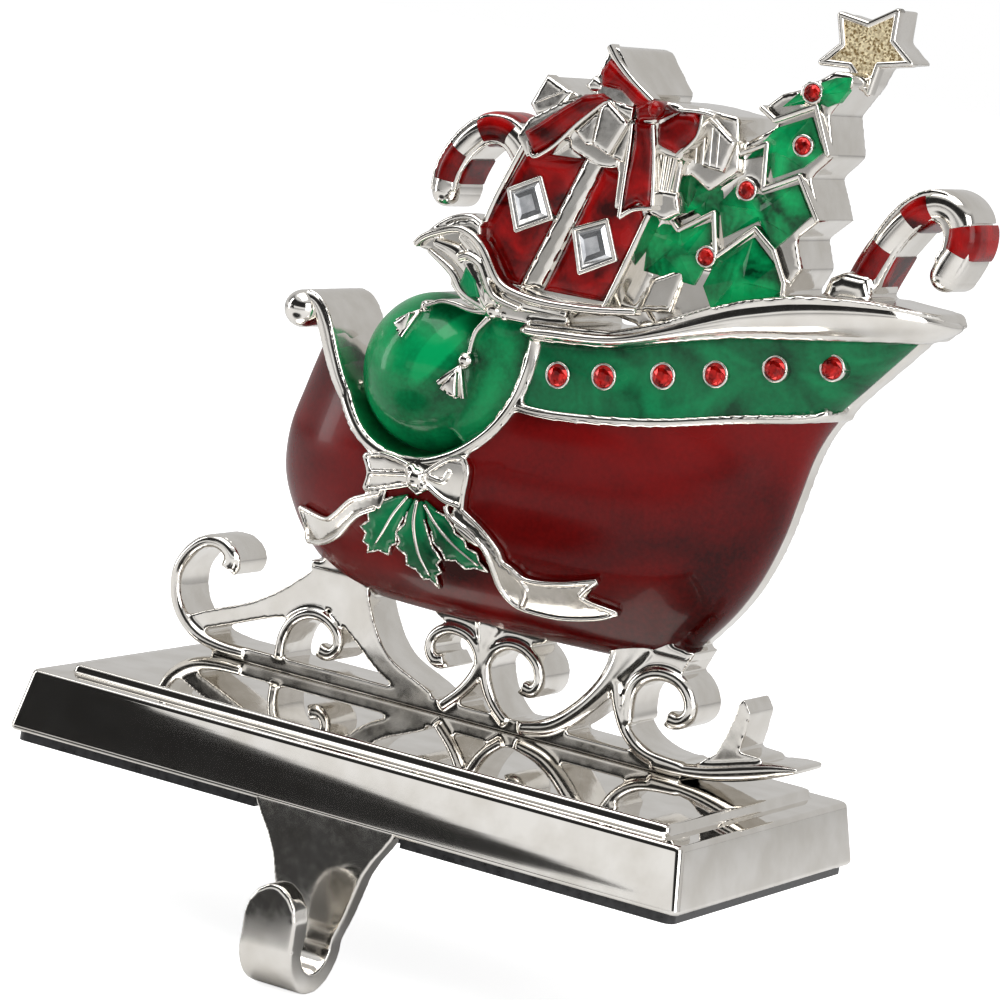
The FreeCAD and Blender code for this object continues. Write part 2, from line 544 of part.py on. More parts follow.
# Ribbon bow and holly below the sack, raised from the hull
BAND_STONES = [(11.7, 72.0), (19.4, 73.3), (29.0, 75.3), (37.3, 77.2), (46.3, 79.8), (54.5, 81.5)]
BOW_RIBBONS = [
    [(-18.8, 53.2), (-15.1, 54.0), (-10.7, 53.5), (-8.4, 54.2), (-6.4, 53.2), (-3.5, 55.7), (-0.3, 56.6),
     (0.6, 54.5), (0.5, 50.5), (0.4, 48.9), (-2.9, 49.3), (-6.0, 50.3), (-8.2, 48.8), (-10.1, 49.9), (-13.9, 48.9),
     (-18.1, 47.8), (-17.5, 50.6)],
    [(-13.9, 48.6), (-18.2, 46.6), (-20.9, 45.3), (-24.5, 42.1), (-27.1, 40.8), (-30.5, 40.9), (-32.9, 41.4),
     (-32.1, 38.0), (-32.3, 35.6), (-28.3, 36.4), (-24.3, 38.5), (-21.3, 41.5), (-19.1, 43.4), (-14.5, 45.4)],
    [(-1.0, 49.2), (3.8, 46.3), (6.9, 43.4), (7.6, 41.6), (9.2, 40.8), (12.0, 39.4), (17.4, 40.1), (24.0, 42.0),
     (21.4, 38.3), (26.9, 37.3), (23.4, 35.6), (17.4, 34.3), (12.3, 34.2), (9.2, 34.7), (7.0, 37.2), (5.6, 41.0),
     (4.3, 43.2), (1.8, 45.2), (-1.6, 46.9)],
]
LEAVES = [
    [(-10.3, 48.4), (-15.2, 46.2), (-16.9, 44.2), (-19.0, 41.4), (-18.5, 39.4), (-18.1, 37.2), (-13.9, 38.3),
     (-12.3, 40.6), (-9.4, 47.6)],
    [(-8.8, 48.2), (-10.7, 44.0), (-11.9, 40.4), (-10.4, 38.4), (-9.7, 36.4), (-7.6, 35.5), (-5.0, 34.6),
     (-4.6, 37.2), (-3.9, 39.2), (-5.2, 41.4), (-6.3, 44.8), (-7.2, 47.8)],
    [(-6.9, 48.3), (-4.3, 47.0), (-1.4, 45.5), (-0.4, 44.1), (1.8, 42.4), (4.4, 39.4), (2.0, 39.0), (-0.9, 39.6),
     (-3.5, 40.2), (-4.8, 42.0), (-5.9, 45.0)],
]


def ribbon_pieces():
    return [RIBBON_FORM.common(plate(outline, FAR_FRONT)) for outline in BOW_RIBBONS]


# Putting the sub-parts into the document
def feature(label, shape):
    item = doc.addObject("Part::Feature", label)
    item.Label = label
    item.Shape = shape
    item.Placement = FreeCAD.Placement()
    return item


def fused(pieces):
    return pieces[0].fuse(pieces[1:]).removeSplitter()


def inlay(pieces, casting, smallest=0.4):
    """Enamel filling: the pieces less the casting, without specks under a few tenths of a cubic millimetre."""
    whole = pieces[0].fuse(pieces[1:]) if len(pieces) > 1 else pieces[0]
    left = whole.cut(casting)
    return Part.makeCompound([solid for solid in left.Solids if solid.Volume > smallest])


def fuse_objects(label, parts):
    joined = doc.addObject("Part::MultiFuse", label)
    joined.Label = label
    joined.Shapes = parts
    return joined


hook = feature("hook", shape_hook())
base_casting = fuse_objects("base_casting", [base, hook])

# Pad: a thin sheet under the slab, notched round the hook's root
base_pad = doc.addObject("PartDesign::Body", "base_pad")
base_pad.Label = "base_pad"
pad_outline = rectangle_sketch(base_pad, "pad_outline", "0", "sizes.base_length - 2 * sizes.pad_inset",
                               "sizes.base_depth - 2 * sizes.pad_inset")
pad(base_pad, "sheet", pad_outline, "sizes.pad_thickness")
notch = rectangle_sketch(base_pad, "notch_outline", "0", "sizes.hook_root_width + 2 * sizes.pad_notch_gap",
                         "2 * (sizes.hook_thickness + sizes.pad_notch_gap)")
bind(notch, "AttachmentOffset.Base.x", "sizes.hook_offset")
bind(notch, "AttachmentOffset.Base.y", "-sizes.base_depth / 2")
pocket(base_pad, "notch", notch, "sizes.pad_thickness")
round_edges(base_pad, "pad_corners", lambda edge, middle: edge.BoundBox.ZLength > 1
            and abs(middle.x) > size("hook_root_width"), "sizes.pad_corner_radius")

# Screws: two short ones from below, each a flat head and a shank that ends in the runner's rail


def screw(side):
    parts = []
    spans = [("head", "sizes.screw_head_diameter / 2", "sizes.screw_head_height"),
             ("shank", "sizes.screw_diameter / 2",
              "sizes.base_side_height + sizes.plateau_rise + sizes.screw_reach")]
    for name, radius, height in spans:
        cylinder = doc.addObject("Part::Cylinder", "screw_" + name)
        bind(cylinder, "Radius", radius)
        bind(cylinder, "Height", height)
        bind(cylinder, "Placement.Base.x", "%d * sizes.screw_spacing / 2" % side)
        bind(cylinder, "Placement.Base.y", "sizes.sleigh_back - sizes.runner_depth / 2")
        bind(cylinder, "Placement.Base.z", "sizes.pad_thickness")
        parts.append(cylinder)
    return fuse_objects("screw", parts)


fixing_screws = doc.addObject("Part::Compound", "fixing_screws")
fixing_screws.Label = "fixing_screws"
fixing_screws.Links = [screw(-1), screw(1)]
doc.recompute()

# Sleigh casting: every plated piece in one, with two tapped holes in its rail
sleigh_whole = fused(body_pieces() + runner_pieces() + sack_pieces() + gift_pieces()
                     + tree_pieces() + [cane(RIGHT_CANE), cane(LEFT_CANE)] + ribbon_pieces())
sleigh_whole = sleigh_whole.cut(fixing_screws.Shape)
feature("sleigh_casting", sleigh_whole)

# Enamel: each filling lies on the casting, between its raised plated lines
hull_corners = [(80, 76), (70, 29), (-46, 29), (-46, 73.5)]
hull_region = plate(DASH_RIM[:HULL_TOP_LEFT] + LOWER_RIM + hull_corners, FAR_FRONT, SHOULDER_Y)
band_corners = [(80, 80), (80, 90)]
band_region = plate(LOWER_RIM + band_corners + list(reversed(UPPER_RIM_FOOT)), FAR_FRONT, SHOULDER_Y)
leaf_solids = [RIM_FORM.common(plate(outline, FAR_FRONT)) for outline in LEAVES]
leaf_enamel = inlay(leaf_solids, sleigh_whole)
feature("leaf_enamel", leaf_enamel)
hull_enamel = inlay([SKIN_FORM.common(hull_region)], sleigh_whole.fuse(leaf_solids))
feature("hull_enamel", hull_enamel)
feature("band_enamel", inlay([SKIN_FORM.common(band_region)], sleigh_whole))
feature("sack_enamel", inlay([sack_ball(0.0)], sleigh_whole))
feature("gift_enamel", inlay([plate(outline, GIFT_FRONT - ENAMEL, GIFT_FRONT) for outline in GIFT_PANELS],
                             sleigh_whole))
bow_fills = []
for outline, block in BOW_INLAYS:
    level = BOW_FRONT + BOW_BLOCKS[block][1]
    bow_fills.append(plate(outline, level - ENAMEL, level))
feature("bow_enamel", inlay(bow_fills, sleigh_whole))
feature("tree_enamel", inlay([plate(outline, TREE_FRONT - ENAMEL, TREE_FRONT) for outline in TREE_PANELS],
                             sleigh_whole))
feature("cane_enamel", inlay(cane_stripes(RIGHT_CANE, CANE_STRIPES_RIGHT)
                             + cane_stripes(LEFT_CANE, CANE_STRIPES_LEFT), sleigh_whole))
feature("star_glitter", star_plate(size("star_radius") - STAR_RIM_WIDTH, STAR_FRONT - GLITTER_HEIGHT,
                                   STAR_FRONT))


# Stones: cut pieces seated on the flat ends of their settings
STONE_TOP_SHARE = 0.6


def round_stone(x, z, diameter, seat):
    start = spot(x, z, seat)
    return Part.makeCone(diameter / 2, diameter / 4, size("stone_height"), start, V(0, -1, 0))


def square_stone(x, z, seat):
    width = size("gift_stone_width")
    foot = square_wire(x, z, width, seat)
    top = square_wire(x, z, STONE_TOP_SHARE * width, seat - size("stone_height"))
    return Part.makeLoft([foot, top], True, True)


feature("band_stones", Part.makeCompound([
    round_stone(x, z, size("band_stone_diameter"), front_of(x, z) - size("setting_wall")) for x, z in BAND_STONES]))
feature("tree_stones", Part.makeCompound([
    round_stone(x, z, size("tree_stone_diameter"), TREE_FRONT - RIM) for x, z in TREE_STONES]))
feature("gift_stones", Part.makeCompound([square_stone(x, z, GIFT_FRONT - RIM) for x, z in GIFT_STONES]))
doc.recompute()

# Checks, then one STEP file for each sub-part
NODES = ["base_casting", "base_pad", "fixing_screws", "sleigh_casting", "hull_enamel", "band_enamel",
         "sack_enamel", "gift_enamel", "bow_enamel", "tree_enamel", "leaf_enamel", "cane_enamel",
         "star_glitter", "band_stones", "tree_stones", "gift_stones"]
for item in doc.Objects:
    if "Invalid" in item.State or "Error" in item.State:
        raise ValueError(item.Label + " failed: " + str(item.State))
faulty = [node for node in NODES if not doc.getObjectsByLabel(node)[0].Shape.Solids
          or not doc.getObjectsByLabel(node)[0].Shape.isValid()]
if faulty:
    raise ValueError("no sound shape: " + ", ".join(faulty))
os.makedirs("parts", exist_ok=True)
for node in NODES:
    shape = doc.getObjectsByLabel(node)[0].Shape
    shape.exportStep("parts/%s.step" % node)
    print("%-15s solids %2d  volume %9.1f mm3" % (node, len(shape.Solids), shape.Volume))
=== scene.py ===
# %% [markdown]
# # A mantel stocking holder
# The real thing is cast in two parts, plated with nickel and filled with glossy enamel: a heavy slab with a
# hook, and a sleigh in relief that stands on it. The imported solids give every size and place, and this
# lesson dresses them. It loads the solids first and keeps their box.

# %% Load the imported solids
import math
import bmesh
import bpy
import numpy as np
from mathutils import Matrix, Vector, geometry


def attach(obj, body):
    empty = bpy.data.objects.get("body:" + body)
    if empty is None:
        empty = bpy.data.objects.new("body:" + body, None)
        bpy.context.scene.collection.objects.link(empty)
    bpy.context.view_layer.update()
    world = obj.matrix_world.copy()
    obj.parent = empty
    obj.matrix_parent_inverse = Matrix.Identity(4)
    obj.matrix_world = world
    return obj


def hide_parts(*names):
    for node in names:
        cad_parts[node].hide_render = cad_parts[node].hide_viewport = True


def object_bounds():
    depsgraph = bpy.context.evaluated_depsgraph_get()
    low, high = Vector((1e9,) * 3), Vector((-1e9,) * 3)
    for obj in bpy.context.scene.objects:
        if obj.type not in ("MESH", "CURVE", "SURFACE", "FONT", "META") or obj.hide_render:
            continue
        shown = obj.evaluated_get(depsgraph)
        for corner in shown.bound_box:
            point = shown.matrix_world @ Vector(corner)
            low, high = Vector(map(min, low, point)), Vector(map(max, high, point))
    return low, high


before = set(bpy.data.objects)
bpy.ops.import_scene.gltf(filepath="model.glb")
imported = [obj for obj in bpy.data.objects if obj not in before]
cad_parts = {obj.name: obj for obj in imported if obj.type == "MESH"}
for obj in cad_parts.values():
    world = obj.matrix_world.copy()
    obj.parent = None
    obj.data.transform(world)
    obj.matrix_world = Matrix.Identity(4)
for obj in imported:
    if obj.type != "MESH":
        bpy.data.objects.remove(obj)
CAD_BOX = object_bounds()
print("solids:", ", ".join(sorted(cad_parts)))

# %% [markdown]
# ## The camera
# The photograph was taken with a long lens, a little from the right and above, and slightly rolled. A
# camera fitted to the corners of the slab gave the numbers below. Making the camera first means that every
# later look at the model is taken from the photograph's own place.

# %% Camera
CAMERA_PLACE = Vector((0.32708, -0.61770, 0.15355))
CAMERA_RIGHT = Vector((0.86387, 0.47835, 0.15785))
CAMERA_UP = Vector((-0.20834, 0.05398, 0.97657))
CAMERA_BACK = Vector((0.45862, -0.87651, 0.14629))
lens = bpy.data.cameras.new("photo_lens")
lens.sensor_width = 36
lens.lens = 162.15
lens.clip_start = 0.01
camera = bpy.data.objects.new("photo_camera", lens)
bpy.context.scene.collection.objects.link(camera)
for column, direction in enumerate((CAMERA_RIGHT, CAMERA_UP, CAMERA_BACK, CAMERA_PLACE)):
    for line in range(3):
        camera.matrix_world[line][column] = direction[line]
bpy.context.scene.camera = camera
print("camera: %.0f mm lens, %.2f m away" % (lens.lens, CAMERA_PLACE.length))

# %% [markdown]
# ## Drawing aids
# The casting is a relief: most of it is drawn as outlines seen from the front, in millimetres, and pushed
# forward to a height. So three helpers do nearly all the work. One runs a soft curve through drawn points,
# one sweeps a rounded bar along a curve, and one fills an outline with small triangles and raises it like a
# drop of enamel.

# %% Soft curves and finished meshes
MM = 0.001


def soft(points, steps=6):
    """A soft curve through the drawn points, with some steps between each pair."""
    drawn = np.array(points, float)
    padded = np.vstack([2 * drawn[0] - drawn[1], drawn, 2 * drawn[-1] - drawn[-2]])
    curve = []
    for a, b, c, d in zip(padded, padded[1:], padded[2:], padded[3:]):
        for t in np.linspace(0, 1, steps, endpoint=False):
            curve.append(0.5 * (2 * b + (c - a) * t + (2 * a - 5 * b + 4 * c - d) * t ** 2
                                + (3 * b - a - 3 * c + d) * t ** 3))
    return np.array(curve + [drawn[-1]])


def stack(parts):
    """One list of corners and faces from several."""
    corners, faces = [], []
    for part_corners, part_faces in parts:
        shift = len(corners)
        corners += [tuple(c) for c in part_corners]
        faces += [[i + shift for i in face] for face in part_faces]
    return corners, faces


def piece(name, parts, finish, stands_for=(), smooth=True, sharp=None):
    """An object in millimetres that rides on the part and takes its finish from a material slot."""
    corners, faces = stack(parts)
    mesh = bpy.data.meshes.new(name)
    mesh.from_pydata([tuple(c * MM for c in corner) for corner in corners], [], faces)
    tidy = bmesh.new()
    tidy.from_mesh(mesh)
    bmesh.ops.recalc_face_normals(tidy, faces=tidy.faces)
    tidy.to_mesh(mesh)
    tidy.free()
    mesh.polygons.foreach_set("use_smooth", [smooth] * len(mesh.polygons))
    if sharp:
        mesh.set_sharp_from_angle(angle=math.radians(sharp))
    mesh.materials.append(finish)
    item = bpy.data.objects.new(name, mesh)
    bpy.context.scene.collection.objects.link(item)
    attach(item, "root")
    if stands_for:
        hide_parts(*stands_for)
    print("%-18s %6d faces" % (name, len(mesh.polygons)))
    return item


print("a soft curve through 3 drawn points has", len(soft([(0, 0), (3, 1), (5, 4)])), "points")

# %% Rounded bars
BACK = 16.0  # the depth of the casting's flat back
HIDDEN_BACK = BACK - 0.4  # bars end just inside it, so that the two faces don't flicker


def at(level, x, z):
    """A level at a point: a number, or what a function of x and z gives there."""
    return level(x, z) if callable(level) else level


def bar(path, widths, front, back=HIDDEN_BACK, bulge=0.9, steps=6, arc=8):
    """A bar along a drawn path, with a rounded front. Its front and back are levels."""
    line = soft(path, steps)
    if len(widths) > 1:
        wide = soft([[w] for w in widths], steps)[:, 0]
    else:
        wide = np.full(len(line), float(widths[0]))
    wide = np.interp(np.linspace(0, 1, len(line)), np.linspace(0, 1, len(wide)), wide)
    along = np.gradient(line, axis=0)
    along /= np.linalg.norm(along, axis=1)[:, None] + 1e-9
    angles = np.linspace(0, math.pi, arc + 1)
    corners, faces = [], []
    for (x, z), (dx, dz), w in zip(line, along, wide):
        level = at(front, x, z)
        crown = min(bulge, w / 2)
        ring = [(-w / 2, at(back, x, z))]
        ring += [(-w / 2 * math.cos(a), level + crown - crown * math.sin(a)) for a in angles]
        ring.append((w / 2, ring[0][1]))
        corners += [(x - dz * side, y, z + dx * side) for side, y in ring]
    size = arc + 3
    for i in range(len(line) - 1):
        for j in range(size):
            k = (j + 1) % size
            faces.append([i * size + j, i * size + k, (i + 1) * size + k, (i + 1) * size + j])
    faces.append(list(range(size)))
    faces.append([(len(line) - 1) * size + j for j in range(size)])
    return corners, faces


print("a straight bar has", len(bar([(0, 0), (10, 0)], [1.0], 0.0)[0]), "corners")

# %% Filled outlines
def spaced(outline, step):
    """The outline's corners with points between them, about a step apart."""
    points = []
    for a, b in zip(outline, list(outline[1:]) + [outline[0]]):
        a, b = np.array(a, float), np.array(b, float)
        count = max(1, int(round(np.linalg.norm(b - a) / step)))
        points += [a + (b - a) * i / count for i in range(count)]
    return np.array(points)


def edge_distance(points, loop):
    """How far each point lies from a closed loop."""
    nearest = np.full(len(points), 1e9)
    for a, b in zip(loop, np.roll(loop, -1, axis=0)):
        run = b - a
        share = np.clip(((points - a) @ run) / (run @ run + 1e-12), 0, 1)
        nearest = np.minimum(nearest, np.linalg.norm(points - a - share[:, None] * run, axis=1))
    return nearest


def inside(points, loop):
    """Which points lie within a closed loop."""
    found = np.zeros(len(points), bool)
    x, z = points[:, 0], points[:, 1]
    for (ax, az), (bx, bz) in zip(loop, np.roll(loop, -1, axis=0)):
        crosses = (az > z) != (bz > z)
        found ^= crosses & (x < (bx - ax) * (z - az) / (bz - az + 1e-12) + ax)
    return found


def relief(outline, front, back, rise=0.5, lip=1.0, step=0.5):
    """An outline filled with triangles, whose front rises from its edge over a lip's width."""
    loop = spaced(outline, step)
    low, high = loop.min(0), loop.max(0)
    grid = np.stack(np.meshgrid(np.arange(low[0], high[0], step), np.arange(low[1], high[1], step)), -1)
    grid = grid.reshape(-1, 2)
    grid[:, 0] += (np.round(grid[:, 1] / step) % 2) * step / 2
    grid = grid[inside(grid, loop)]
    grid = grid[edge_distance(grid, loop) > 0.45 * step]
    flat = [Vector(p) for p in np.vstack([loop, grid])]
    rim = [(i, (i + 1) % len(loop)) for i in range(len(loop))]
    places, _, faces, *_ = geometry.delaunay_2d_cdt(flat, rim, [], 1, 1e-4)
    places = np.array([tuple(p) for p in places])
    share = np.clip(edge_distance(places, loop) / lip, 0, 1)
    raised = rise * np.sqrt(np.clip(1 - (1 - share) ** 2, 0, 1))
    count = len(places)
    corners = [(x, at(front, x, z) - up, z) for (x, z), up in zip(places, raised)]
    corners += [(x, at(back, x, z), z) for x, z in places]
    edges = {}
    for face in faces:
        for a, b in zip(face, list(face[1:]) + [face[0]]):
            edges[(a, b)] = edges.get((a, b), 0) + 1
    walls = [[a, b, b + count, a + count] for a, b in edges if (b, a) not in edges]
    return corners, [list(f) for f in faces] + [[i + count for i in reversed(f)] for f in faces] + walls


print("a filled square of 4 mm has", len(relief([(0, 0), (4, 0), (4, 4), (0, 4)], 0.0, 1.0)[1]), "faces")

# %% [markdown]
# A real casting has no sharp inner corners: molten metal leaves small fillets wherever two forms meet.
# Blender gets the same look by wrapping all the forms of a casting in one skin of small squares, the voxel
# remesh, and then letting the skin relax a little.

# %% One soft skin over several forms
def cast(name, parts, finish, grain, relax=4, most=180000, stands_for=()):
    """Wraps closed forms in one skin of squares of the grain's size, and softens it."""
    item = piece(name, parts, finish, stands_for)
    bpy.context.view_layer.objects.active = item
    wrap = item.modifiers.new("wrap", "REMESH")
    wrap.mode = "VOXEL"
    wrap.voxel_size = grain * MM
    calm = item.modifiers.new("calm", "SMOOTH")
    calm.factor = 0.5
    calm.iterations = relax
    for modifier in (wrap, calm):
        bpy.ops.object.modifier_apply(modifier=modifier.name)
    count = 2 * len(item.data.polygons)
    if count > most:
        thin = item.modifiers.new("thin", "DECIMATE")
        thin.ratio = most / count
        bpy.ops.object.modifier_apply(modifier=thin.name)
    item.data.polygons.foreach_set("use_smooth", [True] * len(item.data.polygons))
    item.data.materials.clear()
    item.data.materials.append(finish)
    print("%-18s %6d faces after wrapping" % (name, len(item.data.polygons)))
    return item


print("wrapping helper ready")

# %% [markdown]
# ## Finishes
# Each finish is one Principled surface with procedural detail. A small helper adds a node and joins its
# sockets, which keeps the recipes below readable. All patterns are laid out in the object's own
# coordinates, in metres, so that they stay on the surface from every side.

# %% Node helper
def blank(name):
    """A new material with its node tree, its surface node and the place that its patterns are read at."""
    material = bpy.data.materials.new(name)
    material.use_nodes = True
    tree = material.node_tree
    surface = tree.nodes["Principled BSDF"]
    place = tree.nodes.new("ShaderNodeTexCoord").outputs["Object"]
    return material, tree, surface, place


def add(tree, kind, settings=None, **sockets):
    """A node with its settings, and its sockets set to values or joined to other nodes."""
    node = tree.nodes.new("ShaderNode" + kind)
    for key, value in (settings or {}).items():
        setattr(node, key, value)
    for key, value in sockets.items():
        socket = node.inputs[int(key[1:])] if key[1:].isdigit() else node.inputs[key.replace("_", " ")]
        if isinstance(value, bpy.types.NodeSocket):
            tree.links.new(value, socket)
        else:
            socket.default_value = value
    return node


def stretched(tree, place, scale):
    """The place scaled along x, y and z, so that a pattern is longer one way than another."""
    return add(tree, "Mapping", Vector=place, Scale=scale).outputs["Vector"]


def noise(tree, place, scale, detail=3.0, twist=0.0):
    """A cloudy pattern of values about 0.5."""
    return add(tree, "TexNoise", Vector=place, Scale=scale, Detail=detail, Distortion=twist).outputs["Fac"]


def spread(tree, value, low, high):
    """A 0 to 1 pattern spread over a range."""
    node = add(tree, "MapRange", Value=value, From_Min=0.3, From_Max=0.7, To_Min=low, To_Max=high)
    return node.outputs["Result"]


def tint(tree, value, dark, light, low=0.35, high=0.65):
    """A pattern as a run of colours, dark where it is low and light where it is high."""
    ramp = add(tree, "ValToRGB", Fac=value)
    ramp.color_ramp.elements[0].position = low
    ramp.color_ramp.elements[1].position = high
    ramp.color_ramp.elements[0].color = (*dark, 1)
    ramp.color_ramp.elements[1].color = (*light, 1)
    return ramp.outputs["Color"]


def dents(tree, surface, height, depth):
    """Dents in the surface that follow a pattern, with their depth in millimetres."""
    bump = add(tree, "Bump", Height=height, Distance=depth * MM, Strength=1.0)
    tree.links.new(bump.outputs["Normal"], surface.inputs["Normal"])


print("node helpers ready")

# %% [markdown]
# Nickel plate is a warm silver mirror. On the sleigh it follows the slight unevenness of the casting, so
# its reflections wander. On the slab it was brushed lengthwise before plating, which leaves fine streaks.

# %% Nickel plate
def plated(name, rough, uneven, streaks=False):
    """Nickel plate; rough is how blurred its reflections are, and uneven how deep its dents are in mm."""
    material, tree, surface, place = blank(name)
    surface.inputs["Metallic"].default_value = 1.0
    cloud = noise(tree, place, 160.0)
    tree.links.new(tint(tree, cloud, (0.70, 0.67, 0.62), (0.80, 0.775, 0.735)), surface.inputs["Base Color"])
    if streaks:
        lines = noise(tree, stretched(tree, place, (9.0, 900.0, 900.0)), 1.0, 4.0)
        tree.links.new(spread(tree, lines, rough, rough * 1.5), surface.inputs["Roughness"])
        dents(tree, surface, lines, uneven)
    else:
        fine = noise(tree, place, 900.0)
        tree.links.new(spread(tree, fine, rough, rough * 1.9), surface.inputs["Roughness"])
        dents(tree, surface, noise(tree, place, 150.0, 1.0), uneven)
    return material


nickel = plated("cast_nickel", 0.08, 0.06)
slab_nickel = plated("brushed_nickel", 0.025, 0.0006, streaks=True)
print("nickel finishes made")

# %% [markdown]
# Enamel is a coloured glass-like filling: deep where it is thick, brighter where it thins towards the
# metal, with a clear glossy top. A clear coat over a deep base gives the gloss, slow clouds in the colour
# give the depth, and a soft unevenness keeps the highlights from looking like plastic.

# %% Enamel
def enamel(name, deep, bright, cloud_size, swirl=0.6, coat=0.25, painted_highlight=None):
    """Coloured enamel; the painted highlight is a lighter oval: its middle, half width, half length and lean,
    in mm.
    """
    material, tree, surface, place = blank(name)
    cloud = noise(tree, place, cloud_size, 2.0, swirl)
    grain = noise(tree, place, 1400.0, 2.0)
    mixed = add(tree, "Math", {"operation": "MULTIPLY_ADD"}, _0=grain, _1=0.18, _2=cloud).outputs[0]
    # Painted highlight: inside a soft oval the colour is lifted towards the bright end, standing for a streak
    # of light.
    if painted_highlight:
        (x, z), half_width, half_length, lean = painted_highlight
        highlight_oval = add(tree, "Mapping", {"vector_type": "TEXTURE"}, Vector=place, Location=(x * MM, 0, z * MM),
                   Rotation=(0, math.radians(lean), 0), Scale=(half_width * MM, 1, half_length * MM))
        apart = add(tree, "VectorMath", {"operation": "LENGTH"}, _0=highlight_oval.outputs["Vector"]).outputs["Value"]
        lift = add(tree, "MapRange", Value=apart, From_Min=0.3, From_Max=1.0, To_Min=0.55, To_Max=0.0)
        mixed = add(tree, "Math", {"operation": "ADD"}, _0=mixed, _1=lift.outputs["Result"]).outputs[0]
    tree.links.new(tint(tree, mixed, deep, bright, 0.40, 0.78), surface.inputs["Base Color"])
    tree.links.new(spread(tree, cloud, 0.16, 0.28), surface.inputs["Roughness"])
    surface.inputs["Specular IOR Level"].default_value = 0.15
    surface.inputs["Coat Weight"].default_value = coat
    surface.inputs["Coat Roughness"].default_value = 0.03
    dents(tree, surface, noise(tree, place, 120.0, 1.0), 0.10)
    return material


red_enamel = enamel("red_enamel", (0.026, 0.0, 0.0), (0.185, 0.001, 0.001), 38.0, coat=0.12)
green_enamel = enamel("green_enamel", (0.0, 0.046, 0.016), (0.001, 0.215, 0.072), 95.0, 1.2)
ruby_enamel = enamel("ruby_enamel", (0.032, 0.0, 0.0), (0.34, 0.002, 0.002), 120.0, 1.5)
bright_green = enamel("bright_green_enamel", (0.0, 0.030, 0.010), (0.001, 0.40, 0.115), 110.0, 1.5)
# The sack's enamel carries a painted highlight, a lighter oval leaning up its middle.
sack_green = enamel("sack_green_enamel", (0.0, 0.034, 0.012), (0.001, 0.30, 0.09), 60.0, 0.8,
                    painted_highlight=((-8.8, 72.6), 2.2, 8.0, 23))
print("enamels made")

# %% [markdown]
# The star is filled with glitter: thousands of tiny gold flakes, each lying at its own angle. Voronoi cells
# give every flake its own colour and tilt. The stones are cut glass with foil behind them, so each facet
# throws back light of its own.

# %% Glitter, stones, pad and screws
def glitter():
    """Gold flakes, each with its own colour, shine and tilt."""
    material, tree, surface, place = blank("gold_glitter")
    flakes = add(tree, "TexVoronoi", Vector=place, Scale=3300.0)
    tree.links.new(tint(tree, flakes.outputs["Color"], (0.30, 0.20, 0.08), (1.0, 0.88, 0.60), 0.2, 0.75),
                   surface.inputs["Base Color"])
    tree.links.new(spread(tree, flakes.outputs["Color"], 0.25, 0.5), surface.inputs["Roughness"])
    surface.inputs["Metallic"].default_value = 0.75
    dents(tree, surface, flakes.outputs["Color"], 0.16)
    return material


def cut_glass(name, dark, light, clear, foil):
    """A cut stone with foil behind it; clear and foil are how much it lets through and throws back."""
    material, tree, surface, place = blank(name)
    tree.links.new(tint(tree, noise(tree, place, 700.0), dark, light), surface.inputs["Base Color"])
    tree.links.new(spread(tree, noise(tree, place, 2500.0), 0.02, 0.06), surface.inputs["Roughness"])
    surface.inputs["IOR"].default_value = 1.6
    surface.inputs["Metallic"].default_value = foil
    surface.inputs["Transmission Weight"].default_value = clear
    return material


def plain(name, dark, light, scale, rough, uneven, metallic=0.0):
    """A quiet finish with fine specks, for the pad and the screws."""
    material, tree, surface, place = blank(name)
    speck = noise(tree, place, scale, 4.0)
    tree.links.new(tint(tree, speck, dark, light), surface.inputs["Base Color"])
    tree.links.new(spread(tree, speck, rough * 0.8, rough * 1.2), surface.inputs["Roughness"])
    surface.inputs["Metallic"].default_value = metallic
    dents(tree, surface, speck, uneven)
    return material


gold_glitter = glitter()
red_glass = cut_glass("red_glass", (0.14, 0.001, 0.001), (0.72, 0.010, 0.006), 0.05, 0.5)
clear_glass = cut_glass("clear_glass", (0.62, 0.64, 0.67), (0.90, 0.915, 0.94), 0.1, 0.85)
pad_rubber = plain("pad_rubber", (0.012, 0.012, 0.013), (0.03, 0.03, 0.032), 900.0, 0.32, 0.02)
zinc_steel = plain("zinc_steel", (0.42, 0.42, 0.43), (0.62, 0.62, 0.62), 600.0, 0.3, 0.01, 1.0)
print("glitter, glass, rubber and steel made")

# %% [markdown]
# ## The slab
# The slab is a heavy plate whose sides lean in towards the top, with a low raised field on it. Every edge
# that the polishing wheel reached is slightly round, and those thin bright lines are what make it read as
# metal. So it is built as a stack of rounded rectangles, with extra ones close together at each edge.

# %% Slab
SLAB_HALF = (60.0, 31.5)
SLAB_CORNER = 1.2
CORNER_STEPS = 6
SLAB_RINGS = [(0.9, 1.5), (0.25, 1.62), (0.02, 1.95), (0.0, 2.4), (1.52, 10.7), (1.62, 11.15), (1.85, 11.45),
              (2.25, 11.6), (5.6, 11.68), (6.0, 11.8), (6.2, 12.1), (6.28, 12.6), (6.42, 12.95), (6.8, 13.08),
              (7.3, 13.1)]


def rounded_ring(inset, height):
    """The slab's outline at a height, drawn in by an inset."""
    half_x, half_y = SLAB_HALF[0] - inset, SLAB_HALF[1] - inset
    ring = []
    for turn, (sx, sy) in enumerate(((1, 1), (-1, 1), (-1, -1), (1, -1))):
        for k in range(CORNER_STEPS + 1):
            angle = math.radians(90 * (turn + k / CORNER_STEPS))
            ring.append((sx * (half_x - SLAB_CORNER) + SLAB_CORNER * math.cos(angle),
                         sy * (half_y - SLAB_CORNER) + SLAB_CORNER * math.sin(angle), height))
    return ring


def stacked(rings):
    """A closed shape from rings that have as many corners each."""
    size = len(rings[0])
    corners = [corner for ring in rings for corner in ring]
    faces = [list(range(size))[::-1], [(len(rings) - 1) * size + i for i in range(size)]]
    for i in range(len(rings) - 1):
        for j in range(size):
            k = (j + 1) % size
            faces.append([i * size + j, i * size + k, (i + 1) * size + k, (i + 1) * size + j])
    return corners, faces


